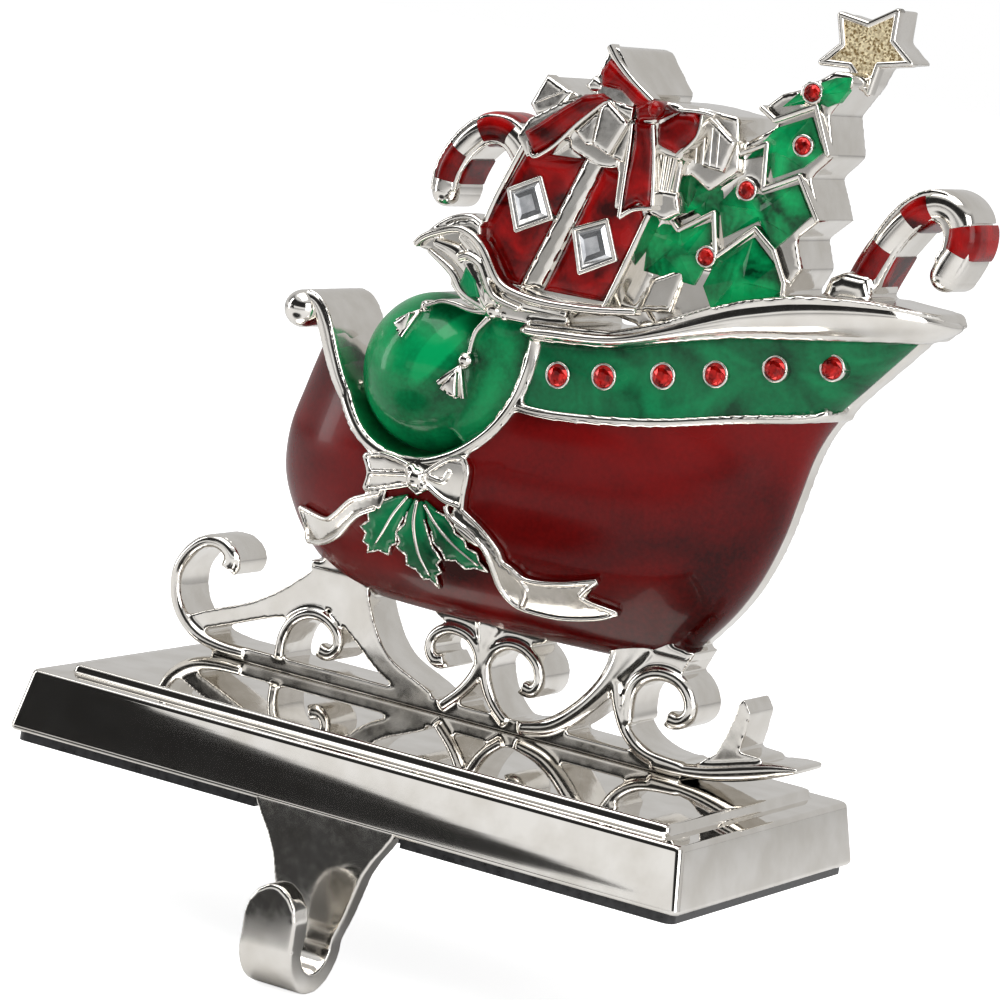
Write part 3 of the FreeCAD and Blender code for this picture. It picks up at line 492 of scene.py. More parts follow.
slab = piece("base_slab", [stacked([rounded_ring(*ring) for ring in SLAB_RINGS])], slab_nickel,
             ["base_casting"])
even = slab.modifiers.new("even_shading", "WEIGHTED_NORMAL")
even.weight = 100

# %% [markdown]
# ## The hook
# The hook hangs from the slab's front edge: a strap that narrows, a round bend and a bullet-shaped finger.
# Its edges are softer than the slab's, because it was only tumbled, so it gets one soft skin.

# %% Hook
HOOK_MIDDLE = -0.8
HOOK_FRONT, HOOK_BACK = -31.5, -28.2
HOOK_BEND_Z, HOOK_INNER = -16.9, 4.3
HOOK_THICK = HOOK_BACK - HOOK_FRONT
HOOK_BEND_STEPS = 24
STRAP = [(12.6, 2.6), (12.4, 1.3), (11.1, -0.8), (9.6, -3.0), (8.1, -6.0), (7.3, -9.0), (6.3, -12.5),
         (5.2, -15.5), (4.7, -16.9)]
FINGER = [(4.6, -16.9), (4.6, -12.6), (4.1, -10.4), (2.9, -8.6), (1.2, -7.5), (0.0, -7.3)]
FINGER_EXTRA = 0.8


def mirrored(side):
    """A whole outline from its right half."""
    return side + [(-x, z) for x, z in reversed(side) if x > 0]


def upright(outline, front, back):
    """A plate with its outline in the XZ plane, its front and back each a level."""
    count = len(outline)
    corners = [(x, front, z) for x, z in outline] + [(x, back, z) for x, z in outline]
    faces = [list(range(count)), list(range(count, 2 * count))[::-1]]
    faces += [[i, (i + 1) % count, (i + 1) % count + count, i + count] for i in range(count)]
    return corners, faces


def moved(part, by):
    """A part moved along x, y and z."""
    return [tuple(c + d for c, d in zip(corner, by)) for corner in part[0]], part[1]


bend_middle = HOOK_FRONT - HOOK_INNER
bend_half = STRAP[-1][0]
bend_rings = []
for k in range(HOOK_BEND_STEPS + 1):
    angle = math.pi * k / HOOK_BEND_STEPS
    ring = []
    for x, reach in ((-bend_half, HOOK_INNER), (bend_half, HOOK_INNER), (bend_half, HOOK_INNER + HOOK_THICK),
                     (-bend_half, HOOK_INNER + HOOK_THICK)):
        ring.append((x, bend_middle + reach * math.cos(angle), HOOK_BEND_Z - reach * math.sin(angle)))
    bend_rings.append(ring)
finger_front = bend_middle - HOOK_INNER - HOOK_THICK
hook_parts = [upright(mirrored(STRAP), HOOK_FRONT, HOOK_BACK), stacked(bend_rings),
              upright(mirrored(FINGER), finger_front, finger_front + HOOK_THICK + FINGER_EXTRA)]
cast("hook_casting", [moved(part, (HOOK_MIDDLE, 0, 0)) for part in hook_parts], nickel, 0.3,
     relax=10, stands_for=["base_casting"])

# %% [markdown]
# The pad under the slab and the two screws that hold the sleigh need no new shapes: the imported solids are
# right, so they only get their rubber and steel.

# %% Pad and screws
for node, finish in (("base_pad", pad_rubber), ("fixing_screws", zinc_steel)):
    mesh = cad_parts[node].data
    mesh.materials.clear()
    mesh.materials.append(finish)
    print(node, "keeps its solid shape")

# %% [markdown]
# ## The sleigh's body
# The body bulges like a barrel with a flat back. It is drawn as level sections, each with its left and
# right ends and how far forward it comes, joined by soft curves. A function that gives the skin's depth at
# any point then lets every ribbon, leaf and rim lie exactly on it.

# %% Skin of the body
BODY_LEVELS = [
    (29.2, -24.5, 28.5, 7.0), (31.2, -30.2, 34.4, 4.0), (35, -35.0, 38.0, 1.0), (40, -38.6, 41.8, -1.6),
    (46, -41.0, 45.0, -3.8), (53, -41.2, 47.4, -4.8), (60, -39.6, 48.9, -4.2), (67, -37.8, 50.5, -2.9),
    (73, -36.0, 53.4, -2.1), (79, -34.5, 58.2, -2.2), (86, -33.5, 64.2, -3.2), (93.5, -32.5, 71.0, -4.6),
]
SHOULDER = 12.5
ROUNDNESS = 2.3
SECTIONS = soft(BODY_LEVELS, 12)


def section(z):
    """Left end, right end and foremost depth of the body at a height."""
    return [float(np.interp(z, SECTIONS[:, 0], SECTIONS[:, k])) for k in (1, 2, 3)]


def skin(x, z, proud=0.0):
    """The depth of the body's skin at a drawn point, or of a layer that stands proud of it."""
    left, right, front = section(z)
    half = (right - left) / 2 + proud
    across = min(1.0, abs(x - (left + right) / 2) / half)
    return SHOULDER - (SHOULDER - front + proud) * (1 - across ** ROUNDNESS) ** (1 / ROUNDNESS)


def on_skin(proud):
    """The skin as a level for bars and reliefs, or a layer that stands proud of it."""
    return lambda x, z: skin(x, z, proud)


def ring_point(share, z, proud=0.0):
    """A point on the skin, a share of the way round it from the left shoulder to the right one."""
    left, right, front = section(z)
    angle = math.pi * share
    across = math.copysign(abs(math.cos(angle)) ** (2 / ROUNDNESS), -math.cos(angle))
    out = abs(math.sin(angle)) ** (2 / ROUNDNESS)
    return ((left + right) / 2 + ((right - left) / 2 + proud) * across,
            SHOULDER - (SHOULDER - front + proud) * out, z)


foremost = min(skin(x, z) for x in range(-40, 60, 5) for z in range(30, 92, 5))
print("the skin comes forward to y = %.1f mm" % foremost)

# %% [markdown]
# Red enamel covers the body up to the rims. It is laid as a patch of squares that follows the skin: its
# columns run round the body and its rows climb from the keel to the line where the rims begin. The same
# patch with other limits makes the green band and the rolled upper rim, so it is one helper.

# %% Drawn lines of the rims
DASH_RIM = [(-36.0, 75.2), (-34.0, 74.6), (-32.0, 71.9), (-30.2, 68), (-28, 63.8), (-25, 59.8), (-21.5, 56.4),
            (-18, 54.6), (-14, 53.8), (-9, 54.0), (-5.0, 55.3), (-1.2, 57.6), (2.2, 60.8), (4.2, 63.9),
            (5.6, 67.3), (6.4, 71.5), (6.7, 75.1), (6.8, 78.5)]
DASH_RIM_WIDTHS = [2.6, 2.8, 2.8, 2.7, 2.6, 2.4, 2.2, 2.0, 1.9, 1.9, 2.0, 2.0, 2.1, 2.2, 2.3, 2.4, 2.4, 2.4]
UPPER_RIM_TOP = [(5.6, 79.2), (10, 79.6), (20, 80.6), (28, 83.5), (35, 86.9), (41, 89.4), (50, 91.8),
                 (60, 92.8), (66.5, 92.3), (69.2, 91.0), (71.4, 88.4)]
UPPER_RIM_FOOT = [(6.4, 76.6), (10, 76.8), (20, 77.9), (30, 80.7), (40, 83.3), (50, 84.9), (60, 86.5),
                  (67, 87.6)]
LOWER_RIM = [(5.6, 65.9), (10, 65.7), (20, 66.6), (30, 68.2), (40, 70.6), (50, 72.6), (58, 74.6), (66, 77.6)]


def drawn_line(points):
    """A soft line as a function that gives its height at an x."""
    line = soft(points)
    order = np.argsort(line[:, 0])
    return lambda x: float(np.interp(x, line[order, 0], line[order, 1]))


print("the lower rim is %.1f mm up at x = 25 mm" % drawn_line(LOWER_RIM)(25))

# %% Patches that follow the skin
def share_at(x, z):
    """How far round the skin a drawn point lies, the other way about from ring_point."""
    left, right, _ = section(z)
    across = (2 * x - left - right) / (right - left)
    return math.acos(-math.copysign(min(1.0, abs(across)) ** (ROUNDNESS / 2), across)) / math.pi


def patch(foot, top, start, columns, rows, rise=lambda t: 0.0, under=0.9, end=1.0):
    """A closed patch of skin between two drawn lines, from a drawn x, or the left shoulder, rightwards."""
    outer, inner = [], []
    for i in range(columns + 1):
        for j in range(rows + 1):
            t = j / rows
            z = foot(0.0) + (top(0.0) - foot(0.0)) * t
            for _ in range(10):
                first = 0.0 if start is None else share_at(start, z)
                share = first + (end - first) * i / columns
                x = ring_point(share, z)[0]
                z = 0.5 * z + 0.5 * (foot(x) + (top(x) - foot(x)) * t)
            outer.append(ring_point(share, z, rise(t)))
            inner.append(ring_point(share, z, -under))
    size = rows + 1
    count = len(outer)
    faces = []
    for i in range(columns):
        for j in range(rows):
            square = [i * size + j, (i + 1) * size + j, (i + 1) * size + j + 1, i * size + j + 1]
            faces += [square, [k + count for k in reversed(square)]]
    border = [i * size for i in range(columns + 1)] + [columns * size + j for j in range(1, size)]
    border += [i * size + rows for i in range(columns - 1, -1, -1)] + [j for j in range(rows - 1, 0, -1)]
    faces += [[a, b, b + count, a + count] for a, b in zip(border, border[1:] + border[:1])]
    return outer + inner, faces


print("the drawn point (30, 68) lies %.2f of the way round the skin" % share_at(30, 68))

# %% [markdown]
# The red patch ends along the middle of the dash rim and of the lower rim, so that the rims cover its edge.
# The green band fills the strip between the lower and the upper rim. It rises by a quarter of a millimetre
# in its middle, as enamel does when it is poured.

# %% Red body and green band
KEEL_HEIGHT = 29.25
DASH_POINTS_ABOVE_HULL = 14
LOWER_RUN_OUT = (80, 81.5)
BAND_START, BAND_END, BAND_RISE = 6.2, 0.965, 0.25
keel = drawn_line([(-60, KEEL_HEIGHT), (90, KEEL_HEIGHT)])
hull_top = drawn_line(DASH_RIM[:DASH_POINTS_ABOVE_HULL] + LOWER_RIM + [LOWER_RUN_OUT])
piece("hull_enamel_skin", [patch(keel, hull_top, None, columns=150, rows=80)], red_enamel,
      ["hull_enamel"])

band_foot = drawn_line([(-10, 65.3)] + LOWER_RIM + [LOWER_RUN_OUT])
band_top = drawn_line([(-10, 76.5)] + UPPER_RIM_FOOT + [(80, 91)])
piece("band_enamel_skin", [patch(band_foot, band_top, BAND_START, columns=90, rows=20,
                                 rise=lambda t: BAND_RISE * math.sin(math.pi * t) ** 0.5, end=BAND_END)],
      green_enamel, ["band_enamel"])

# %% [markdown]
# ## Rims
# Bright plated lines part the colours. The rolled upper rim is the widest, a thick lip that flares forward.
# The dash rim is a deep wall whose front edge is rounded, and it ends in a ball. The thin lower rim is a
# half-round wire on the skin.

# %% Rims
RIM_START = 5.4
LIP_LOW, LIP_HIGH = 0.2, 2.5
LOWER_RIM_WIDTH = 1.5
LOWER_RIM_END_HEIGHT, LOWER_RIM_END_INSET = 74.2, 0.8
DASH_FRONT = BACK - 17.2
DASH_PROUD = 1.1


def lip(t):
    """How far the rolled rim stands out, from its foot at 0 to its top at 1."""
    return LIP_LOW + LIP_HIGH * math.sin(math.pi * min(1.0, 0.05 + 0.92 * t)) ** 0.8


upper_line = drawn_line([(-10, 79.3)] + UPPER_RIM_TOP + [(85, 88.2)])
piece("upper_rim", [patch(band_top, upper_line, RIM_START, columns=110, rows=18, rise=lip, under=1.5)],
      nickel, ["sleigh_casting"])
lower_end = (section(LOWER_RIM_END_HEIGHT)[1] - LOWER_RIM_END_INSET, LOWER_RIM_END_HEIGHT)
lower_bar = bar(LOWER_RIM[:-2] + [lower_end], [LOWER_RIM_WIDTH], on_skin(0.95), on_skin(-0.9), bulge=0.75)
piece("lower_rim", [lower_bar], nickel)


def dash_level(x, z):
    """The front of the dash rim's wall, or a layer proud of the skin where that is further forward."""
    return min(DASH_FRONT - 0.25, skin(x, z, DASH_PROUD))


piece("dash_rim", [bar(DASH_RIM, DASH_RIM_WIDTHS, dash_level, bulge=1.2, steps=8, arc=14)], nickel,
      sharp=60)

# %% [markdown]
# The ball at the rim's upper end is half a ball on a round post, because the casting behind it is solid.

# %% Ball of the dash rim
DASH_BALL, DASH_BALL_RADIUS = (-36.6, 73.2), 3.05
DASH_BALL_PROUD = 1.9


def circle(x, z, radius, count, turn=0.0):
    """Points round a middle, turned by a share of a step."""
    angles = [2 * math.pi * (k + turn) / count for k in range(count)]
    return [(x + radius * math.cos(a), z + radius * math.sin(a)) for a in angles]


def rounded_post(x, z, radius, front, back=HIDDEN_BACK, around=40, dome=10):
    """A round post that ends towards the viewer in half a ball."""
    rings = []
    for k in range(dome + 1):
        angle = math.pi / 2 * (1 - k / dome)
        reach, depth = radius * max(math.cos(angle), 0.01), front + radius - radius * math.sin(angle)
        rings.append([(px, depth, pz) for px, pz in circle(x, z, reach, around)])
    rings.append([(px, back, pz) for px, _, pz in rings[-1]])
    return stacked(rings)


piece("dash_ball", [rounded_post(*DASH_BALL, DASH_BALL_RADIUS, DASH_FRONT - DASH_BALL_PROUD)], nickel)

# %% [markdown]
# ## The casting behind
# Everything plated behind those details, the runner with its scrolls, the side walls, the gift's and tree's
# blocks, is one casting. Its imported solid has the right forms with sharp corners, so a copy of it gets one
# soft skin, in two pieces so that the fine scrolls can have a finer grain. A few of the copy's corners move
# first, at the star, the tree's notch, the band's end and the rim's tip, to where the photograph shows them.

# %% Small moves of the casting's corners
STAR = [(53.0, 136.1), (48.3, 133.2), (43.0, 134.0), (44.3, 129.3), (41.0, 125.9), (46.2, 126.2),
        (50.2, 122.2), (51.1, 127.0), (56.8, 128.2), (53.0, 131.2)]
BAND_END_HEIGHTS, BAND_END_PROUD = (73, 82), 0.2
RIM_TIP_HEIGHTS, RIM_TIP_FROM = (89.5, 93), 69.0
RIM_TIP_SHARE, RIM_TIP_DROP = 0.6, 0.7
SAME_CORNER = 0.25
DRAWN_STAR_MIDDLE, DRAWN_STAR_REACH, DRAWN_STAR_TURN = (47.9, 129.0), 7.8, 62
MOVED_CORNERS = [((49.2, 119), (46.9, 118.8)), ((48.2, 112.8), (48.7, 112.7))]
for k, corner in enumerate(STAR):
    reach, turn = DRAWN_STAR_REACH * (0.5 if k % 2 else 1.0), math.radians(DRAWN_STAR_TURN + 36 * k)
    MOVED_CORNERS.append(((DRAWN_STAR_MIDDLE[0] + reach * math.cos(turn),
                           DRAWN_STAR_MIDDLE[1] + reach * math.sin(turn)), corner))


def reshaped(part):
    """A part with its upright edges at the listed places moved a little."""
    corners = []
    for x, y, z in part[0]:
        for (old_x, old_z), (new_x, new_z) in MOVED_CORNERS:
            if math.hypot(x - old_x, z - old_z) < SAME_CORNER:
                x, z = new_x, new_z
        if BAND_END_HEIGHTS[0] < z < BAND_END_HEIGHTS[1]:
            x = min(x, section(z)[1] + BAND_END_PROUD)
        if RIM_TIP_HEIGHTS[0] < z < RIM_TIP_HEIGHTS[1] and x > RIM_TIP_FROM:
            past = x - RIM_TIP_FROM
            x, z = RIM_TIP_FROM + RIM_TIP_SHARE * past, z - RIM_TIP_DROP * past
        corners.append((x, y, z))
    return corners, part[1]


print(len(MOVED_CORNERS), "drawn corners of the casting move a little")

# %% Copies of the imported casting
SPLIT_HEIGHT, SPLIT_OVERLAP = 31.5, 0.5


def cut_copy(node, height, keep_above):
    """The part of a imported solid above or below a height, closed where it is cut."""
    shape = bmesh.new()
    shape.from_mesh(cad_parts[node].data)
    bmesh.ops.remove_doubles(shape, verts=shape.verts, dist=1e-6)
    cut = bmesh.ops.bisect_plane(shape, geom=shape.verts[:] + shape.edges[:] + shape.faces[:],
                                 plane_co=(0, 0, height * MM), plane_no=(0, 0, 1), clear_inner=keep_above,
                                 clear_outer=not keep_above)
    bmesh.ops.holes_fill(shape, edges=[g for g in cut["geom_cut"] if isinstance(g, bmesh.types.BMEdge)])
    shape.verts.index_update()
    corners = [tuple(c / MM for c in v.co) for v in shape.verts]
    faces = [[v.index for v in f.verts] for f in shape.faces]
    shape.free()
    return corners, faces


runner = cut_copy("sleigh_casting", SPLIT_HEIGHT, keep_above=False)
figure = reshaped(cut_copy("sleigh_casting", SPLIT_HEIGHT - SPLIT_OVERLAP, keep_above=True))
print("the runner has %d corners and the figure %d" % (len(runner[0]), len(figure[0])))

# %% [markdown]
# The rails, struts and scrolls of the runner have fronts nearly as round as a bent wire. The skin alone
# would only take off their corners, so each gets a rounded bar over its front first, and the skin joins
# them. Bars that would reach more than 3 mm past the split, up into the figure, are left out.

# %% Runner with its scrolls
RUNNER_GRAIN = 0.3
RAIL_CURL = ([(-47.6, 27.6), (-47.2, 29.6), (-48.6, 31.0), (-50.6, 31.5), (-53, 30.9), (-55.4, 28.7),
              (-56.9, 25.8), (-56.9, 22.4), (-55.8, 19.4), (-53.5, 16.9), (-50.5, 15.3), (-46.5, 14.6),
              (-42, 14.5)],
             [3.2, 3.0, 2.6, 2.2, 2.1, 2.1, 2.1, 2.1, 2.2, 2.3, 2.2, 2.0, 1.6])
RAIL_TAIL = ([(34, 14.4), (39, 14.6), (44, 15.3), (50, 16.9), (54.5, 18.2), (58.6, 19.2)],
             [1.6, 2.2, 2.7, 3.0, 2.4, 0.9])
STRUTS = [
    ([(-53.5, 17.0), (-48.8, 19.0), (-44, 20.8), (-39, 23.0), (-35, 24.8), (-31.5, 27), (-27.5, 30),
      (-26, 33)], [2.6, 3.0, 3.0, 3.6, 5.2, 6.4, 8, 8]),
    ([(-26.5, 33), (-25, 28.6), (-22.4, 25.2), (-19.4, 21.7), (-16.1, 18.7), (-12.4, 16.9), (-7, 15)],
     [12, 9, 6.2, 4.2, 3.4, 3.2, 2.4]),
    ([(-4.5, 14.6), (-1.4, 17.6), (0.6, 20.6), (1.6, 24.2), (1.8, 27.5), (2, 32)],
     [2.0, 2.2, 2.4, 2.6, 5, 8]),
    ([(7.5, 14.6), (4.6, 17.2), (2.8, 20.2), (1.8, 24.2)], [2.0, 2.0, 2.2, 2.4]),
    ([(27.5, 33), (26.5, 29.5), (24.3, 25.2), (20.3, 20), (15.5, 16), (10, 14.5)],
     [9, 6.4, 4.0, 3.2, 3.0, 2.2]),
    ([(25.5, 25.5), (26.6, 21.8), (28.8, 18), (32.5, 15.6), (39, 14.8)], [2.4, 2.2, 2.1, 2.2, 2.4]),
]
SCROLLS = [
    ([(-35.4, 15.4), (-35.3, 19), (-33.9, 21.9), (-31.2, 23.7), (-28.2, 23.7), (-25.6, 22), (-24.9, 19.7),
      (-26.2, 18.1), (-28.2, 18.4)], [2.0, 1.9, 1.9, 2.0, 2.0, 2.0, 2.0, 2.2, 2.6]),
    ([(1.4, 22), (0.6, 24.7), (-1.6, 26.8), (-5, 27.2), (-7.6, 25.6), (-8.2, 23.3), (-7, 21.6), (-5.2, 22)],
     [2.0, 2.0, 2.0, 2.0, 2.0, 2.0, 2.2, 2.6]),
    ([(2.0, 22.5), (3.2, 25.4), (5.6, 27), (8.6, 26.9), (11.2, 25.1), (12.1, 22.5), (11.2, 20.7), (9.4, 21)],
     [2.0, 2.0, 2.0, 2.0, 2.0, 2.0, 2.2, 2.8]),
    ([(28.6, 19.6), (28.1, 23), (28.7, 25.9), (30.6, 27.8), (33.3, 28.6), (36.3, 28), (38.3, 26),
      (38.8, 23.6), (37.4, 21.9), (35.3, 22)], [2.0, 2.2, 2.3, 2.4, 2.4, 2.4, 2.4, 2.4, 2.4, 3.0]),
]
RUNNER_FRONT = BACK - 8.8
ROUND_SHARE, ROUND_PROUD, ROUND_BACK = 0.93, 0.85, 9.0
ROUNDS_BELOW = SPLIT_HEIGHT + 3
runner_parts = [runner]
for path, widths in [RAIL_CURL, RAIL_TAIL] + STRUTS + SCROLLS:
    rounded = bar(path, [ROUND_SHARE * w for w in widths], RUNNER_FRONT - ROUND_PROUD, ROUND_BACK, bulge=1.5,
                  arc=10)
    if max(corner[2] for corner in rounded[0]) < ROUNDS_BELOW:
        runner_parts.append(rounded)
cast("runner_casting", runner_parts, nickel, RUNNER_GRAIN, relax=5,
     stands_for=["sleigh_casting"])

# %% [markdown]
# The rest of the casting is larger and plainer, and its fine lines are pieces of their own. So a coarser
# grain is enough for its skin.

# %% Figure
FIGURE_GRAIN = 0.42
cast("figure_casting", [figure], nickel, FIGURE_GRAIN, relax=3, stands_for=["sleigh_casting"])

# %% [markdown]
# ## The sack
# The sack is a round bag of green enamel, gathered at its upper right by a cord. Shallow folds run out from
# the tie and fade before they reach the dash rim.

# %% Sack
SACK_MIDDLE = (-13.0, 67.2)
SACK_PLANE, SACK_RADIUS, SACK_DEPTH = 4.0, 12.9, 10.0
SACK_CURVE = (SACK_RADIUS ** 2 + SACK_DEPTH ** 2) / (2 * SACK_DEPTH)
TIE = (-2.0, 79.0)
FOLDS, FOLD_DEPTH = 13, 0.45
SACK_RINGS, SACK_AROUND = 45, 120


def sack_level(x, z):
    """How far forward the sack lies, folds and all."""
    reach = min(math.dist((x, z), SACK_MIDDLE), SACK_RADIUS)
    plain_level = SACK_PLANE + SACK_CURVE - SACK_DEPTH - math.sqrt(SACK_CURVE ** 2 - reach ** 2)
    far = math.dist((x, z), TIE)
    turn = math.atan2(z - TIE[1], x - TIE[0])
    fade = math.exp(-((far / 8.5) ** 2)) * (1 - (reach / SACK_RADIUS) ** 6)
    return plain_level - FOLD_DEPTH * fade * (0.5 + 0.5 * math.cos(FOLDS * turn + 1.3 * math.sin(far / 3)))


def sack_shell():
    """The bag as rings round its middle, closer together towards its rim, with a flat back."""
    rings = []
    for k in range(SACK_RINGS + 1):
        reach = SACK_RADIUS * math.sin(math.pi / 2 * max(k, 0.02) / SACK_RINGS)
        rings.append([(x, sack_level(x, z), z) for x, z in circle(*SACK_MIDDLE, reach, SACK_AROUND)])
    rings.append([(x, SACK_PLANE + 9, z) for x, _, z in rings[-1]])
    return stacked(rings)


SACK_SIDE = [(-3, 80), (5.8, 79.5), (6.0, 74), (5.2, 68), (3.2, 64), (0, 60.5), (-3.4, 57.8), (-7, 60),
             (-5, 68), (-5, 75)]
SACK_FOLDS = [([(-0.6, 79.0), (1.8, 75.5), (2.6, 72.0), (1.4, 68.6)], [1.0, 3.4, 3.8, 1.2], -1.0),
              ([(0.6, 79.4), (4.4, 76.8), (5.0, 73.0), (4.4, 70.0)], [1.0, 2.2, 2.2, 1.0], -1.2)]
sack_parts = [sack_shell(), relief(SACK_SIDE, -0.9, 4.0, rise=1.5, lip=5.0)]
sack_parts += [bar(path, widths, front, 3.0, bulge=1.4) for path, widths, front in SACK_FOLDS]
cast("sack_enamel_skin", sack_parts, sack_green, 0.3, relax=6, most=90000,
     stands_for=["sack_enamel"])

# %% [markdown]
# A cord ties the sack, and each of its two ends carries a knot and a tassel. On the casting they are small
# raised lines. The tassel's threads fan out, so each is a bar of its own that gets wider towards its end.

# %% Cord, knots, tassels and tie
def fan(start, ends, front, width=0.8):
    """Threads from one point to several, each a little wider at its end."""
    return [bar([start, ((start[0] + x) / 2, (start[1] + z) / 2), (x, z)], [0.6 * width, width, width],
                front, beneath_sack, bulge=0.3, steps=5) for x, z in ends]


def on_sack(proud):
    """A front that stands a little proud of the sack."""
    return lambda x, z: sack_level(x, z) - proud


def beneath_sack(x, z):
    """A level a little under the sack's skin, where what lies on the sack ends."""
    return sack_level(x, z) + 0.8


def stud(x, z, radius, front, back):
    """A small round post with a domed front, for knots and the floors of cups."""
    return rounded_post(x, z, radius, front, back, around=24, dome=8)


CORDS = [([(-1.4, 79.8), (-3.2, 79.2), (-5.4, 79.0), (-8.3, 79.4), (-10.7, 79.3), (-13.4, 78.1)],
          [1.5, 1.2, 1.0, 0.9, 0.8, 0.8]),
         ([(-1.6, 78.8), (-2.7, 77.4), (-3.7, 76.0), (-4.1, 74.5), (-4.3, 72.6), (-4.6, 71.6)],
          [1.2, 1.0, 0.9, 0.8, 0.8, 0.8])]
BAG_SIDE_LEVEL, CORD_PROUD = -2.2, 0.65
CORD_KNOTS = [(-14.0, 77.9, 1.0, 1.25, 2), (-4.6, 71.1, 1.3, 1.7, 0)]
TIE_STUDS = [(-1.3, 79.7, 1.5, -3.6, 6), (0.8, 79.4, 1.1, -3.2, 6), (-2.6, 80.9, 1.0, -3.0, 6)]
TASSELS = [((-14.2, 77.2), [(-17.4, 74.9), (-16.8, 74.2), (-16.2, 73.6), (-15.4, 73.0)], 1.15),
           ((-4.8, 70.2), [(-7.3, 67.1), (-6.6, 66.2), (-5.7, 65.6), (-4.8, 65.1), (-3.9, 65.2)], 1.2)]


def cord_level(x, z):
    """The cord lies on the sack, or on the side of the bag's neck where that is further forward."""
    return min(sack_level(x, z), BAG_SIDE_LEVEL) - CORD_PROUD


tie_parts = [bar(path, widths, cord_level, beneath_sack, bulge=0.4) for path, widths in CORDS]
tie_parts += [stud(x, z, radius, on_sack(proud)(x, z), back) for x, z, radius, proud, back in CORD_KNOTS]
tie_parts += [stud(*place) for place in TIE_STUDS]
cast("sack_cord", tie_parts, nickel, 0.14, relax=3, most=60000)
threads = [thread for start, ends, proud in TASSELS for thread in fan(start, ends, on_sack(proud))]
piece("sack_tassels", threads, nickel, sharp=60)

# %% [markdown]
# Above the tie the bag's neck opens in a ruffle, a wavy collar whose front edge curls forward and then runs
# along under the gift. Broad soft bars make its pleats, a thin one makes its rolled edge, and a patch of
# dark green shows inside it.

# %% Ruffle
RUFFLE_EDGE = [(-16.0, 87.4), (-15.0, 88.6), (-13.0, 89.8), (-9.4, 91.1), (-7.0, 90.9), (-4.7, 89.6),
               (-2.9, 87.5), (-1.1, 85.1), (0.9, 83.7), (3.8, 83.0), (6.9, 82.7), (10.1, 82.7),
               (16.7, 83.2), (24.0, 84.3)]
RUFFLE_BACK_EDGE = [(-16.0, 87.6), (-13.8, 90.3), (-11.1, 92.3), (-7.9, 93.2), (-5.6, 92.4)]
INNER_FOLD = [(-8.0, 86.8), (-6.4, 87.4), (-4.1, 86.6), (-2.8, 84.8), (-1.3, 82.6), (0.5, 81.6), (4.0, 80.9)]
PLEATS = [([(-1.8, 80.2), (-4.8, 83.8), (-8.6, 87.2), (-13.0, 88.4)], [1.4, 2.2, 3.2, 1.6], -4.0),
          ([(-1.4, 80.6), (-2.6, 84.0), (-5.0, 87.8), (-8.5, 90.2)], [1.4, 2.2, 3.0, 1.6], -4.2),
          ([(-0.4, 80.4), (0.6, 82.0), (4.0, 81.6), (12.0, 81.4)], [1.4, 2.6, 2.4, 0.8], -3.9),
          ([(-2.2, 79.8), (-6.8, 81.6), (-9.4, 84.4), (-14.0, 87.0)], [1.2, 1.4, 1.6, 0.9], -3.6)]
RUFFLE_OPENING = [(-6.4, 85.6), (-4.4, 83.8), (-3.4, 81.4), (-5.2, 81.2), (-7.0, 82.9)]
ruffle = [bar(RUFFLE_EDGE, [1.1, 1.3, 1.3, 1.2], -4.7, -2.0, bulge=0.6),
          bar(RUFFLE_BACK_EDGE, [1.0, 1.2, 1.0], -2.9, 2.0, bulge=0.6),
          bar(INNER_FOLD, [1.1], -4.7, -2, bulge=0.5)]
ruffle += [bar(path, widths, front, 0.0, bulge=1.3) for path, widths, front in PLEATS]
cast("ruffle_pleats", ruffle, nickel, 0.22, relax=5, most=60000)
piece("ruffle_opening", [relief(RUFFLE_OPENING, -4.2, -2, rise=0.2, lip=0.6, step=0.4)], green_enamel)

# %% [markdown]
# ## The gift
# The gift is a parcel seen at a tilt: red enamel sides, a flat plated ribbon across it, bright edges, and
# two square stones in frames. A swept bar rounds every corner that it turns, so a helper lays frames and
# zigzags as straight bars that meet in round studs.

# %% Sharp bright lines
GIFT_FRONT = -0.4
GIFT_FILLS = [[(-6.2, 92.5), (-5.4, 89.6), (-3.6, 87.0), (-0.6, 84.3), (1.6, 84.2), (9.3, 105.4),
               (-0.9, 104.9)],
              [(5.9, 84.2), (16.4, 84.4), (21.0, 98.2), (17.4, 104), (12.8, 105.2)]]
GIFT_EDGES = [([(-6.1, 92.6), (-4.7, 97.3), (-1.4, 105.8)], [1.0]),
              ([(16.9, 83.6), (19.6, 92.0), (21.8, 99.0)], [1.1])]
GIFT_STRIP = [(2.0, 83.9), (10.1, 106.2), (13.0, 105.8), (5.4, 84.4)]
SQUARES = [[(-2.8, 98.7), (2.8, 101.7), (6.0, 95.4), (-0.2, 92.1)],
           [(9.5, 94.7), (15.4, 97.3), (18.1, 91.1), (11.9, 87.7)]]


def drawn_in(outline, share):
    """The outline, shrunk towards its middle."""
    middle = np.mean(outline, axis=0)
    return [tuple(middle + (np.array(p) - middle) * share) for p in outline]


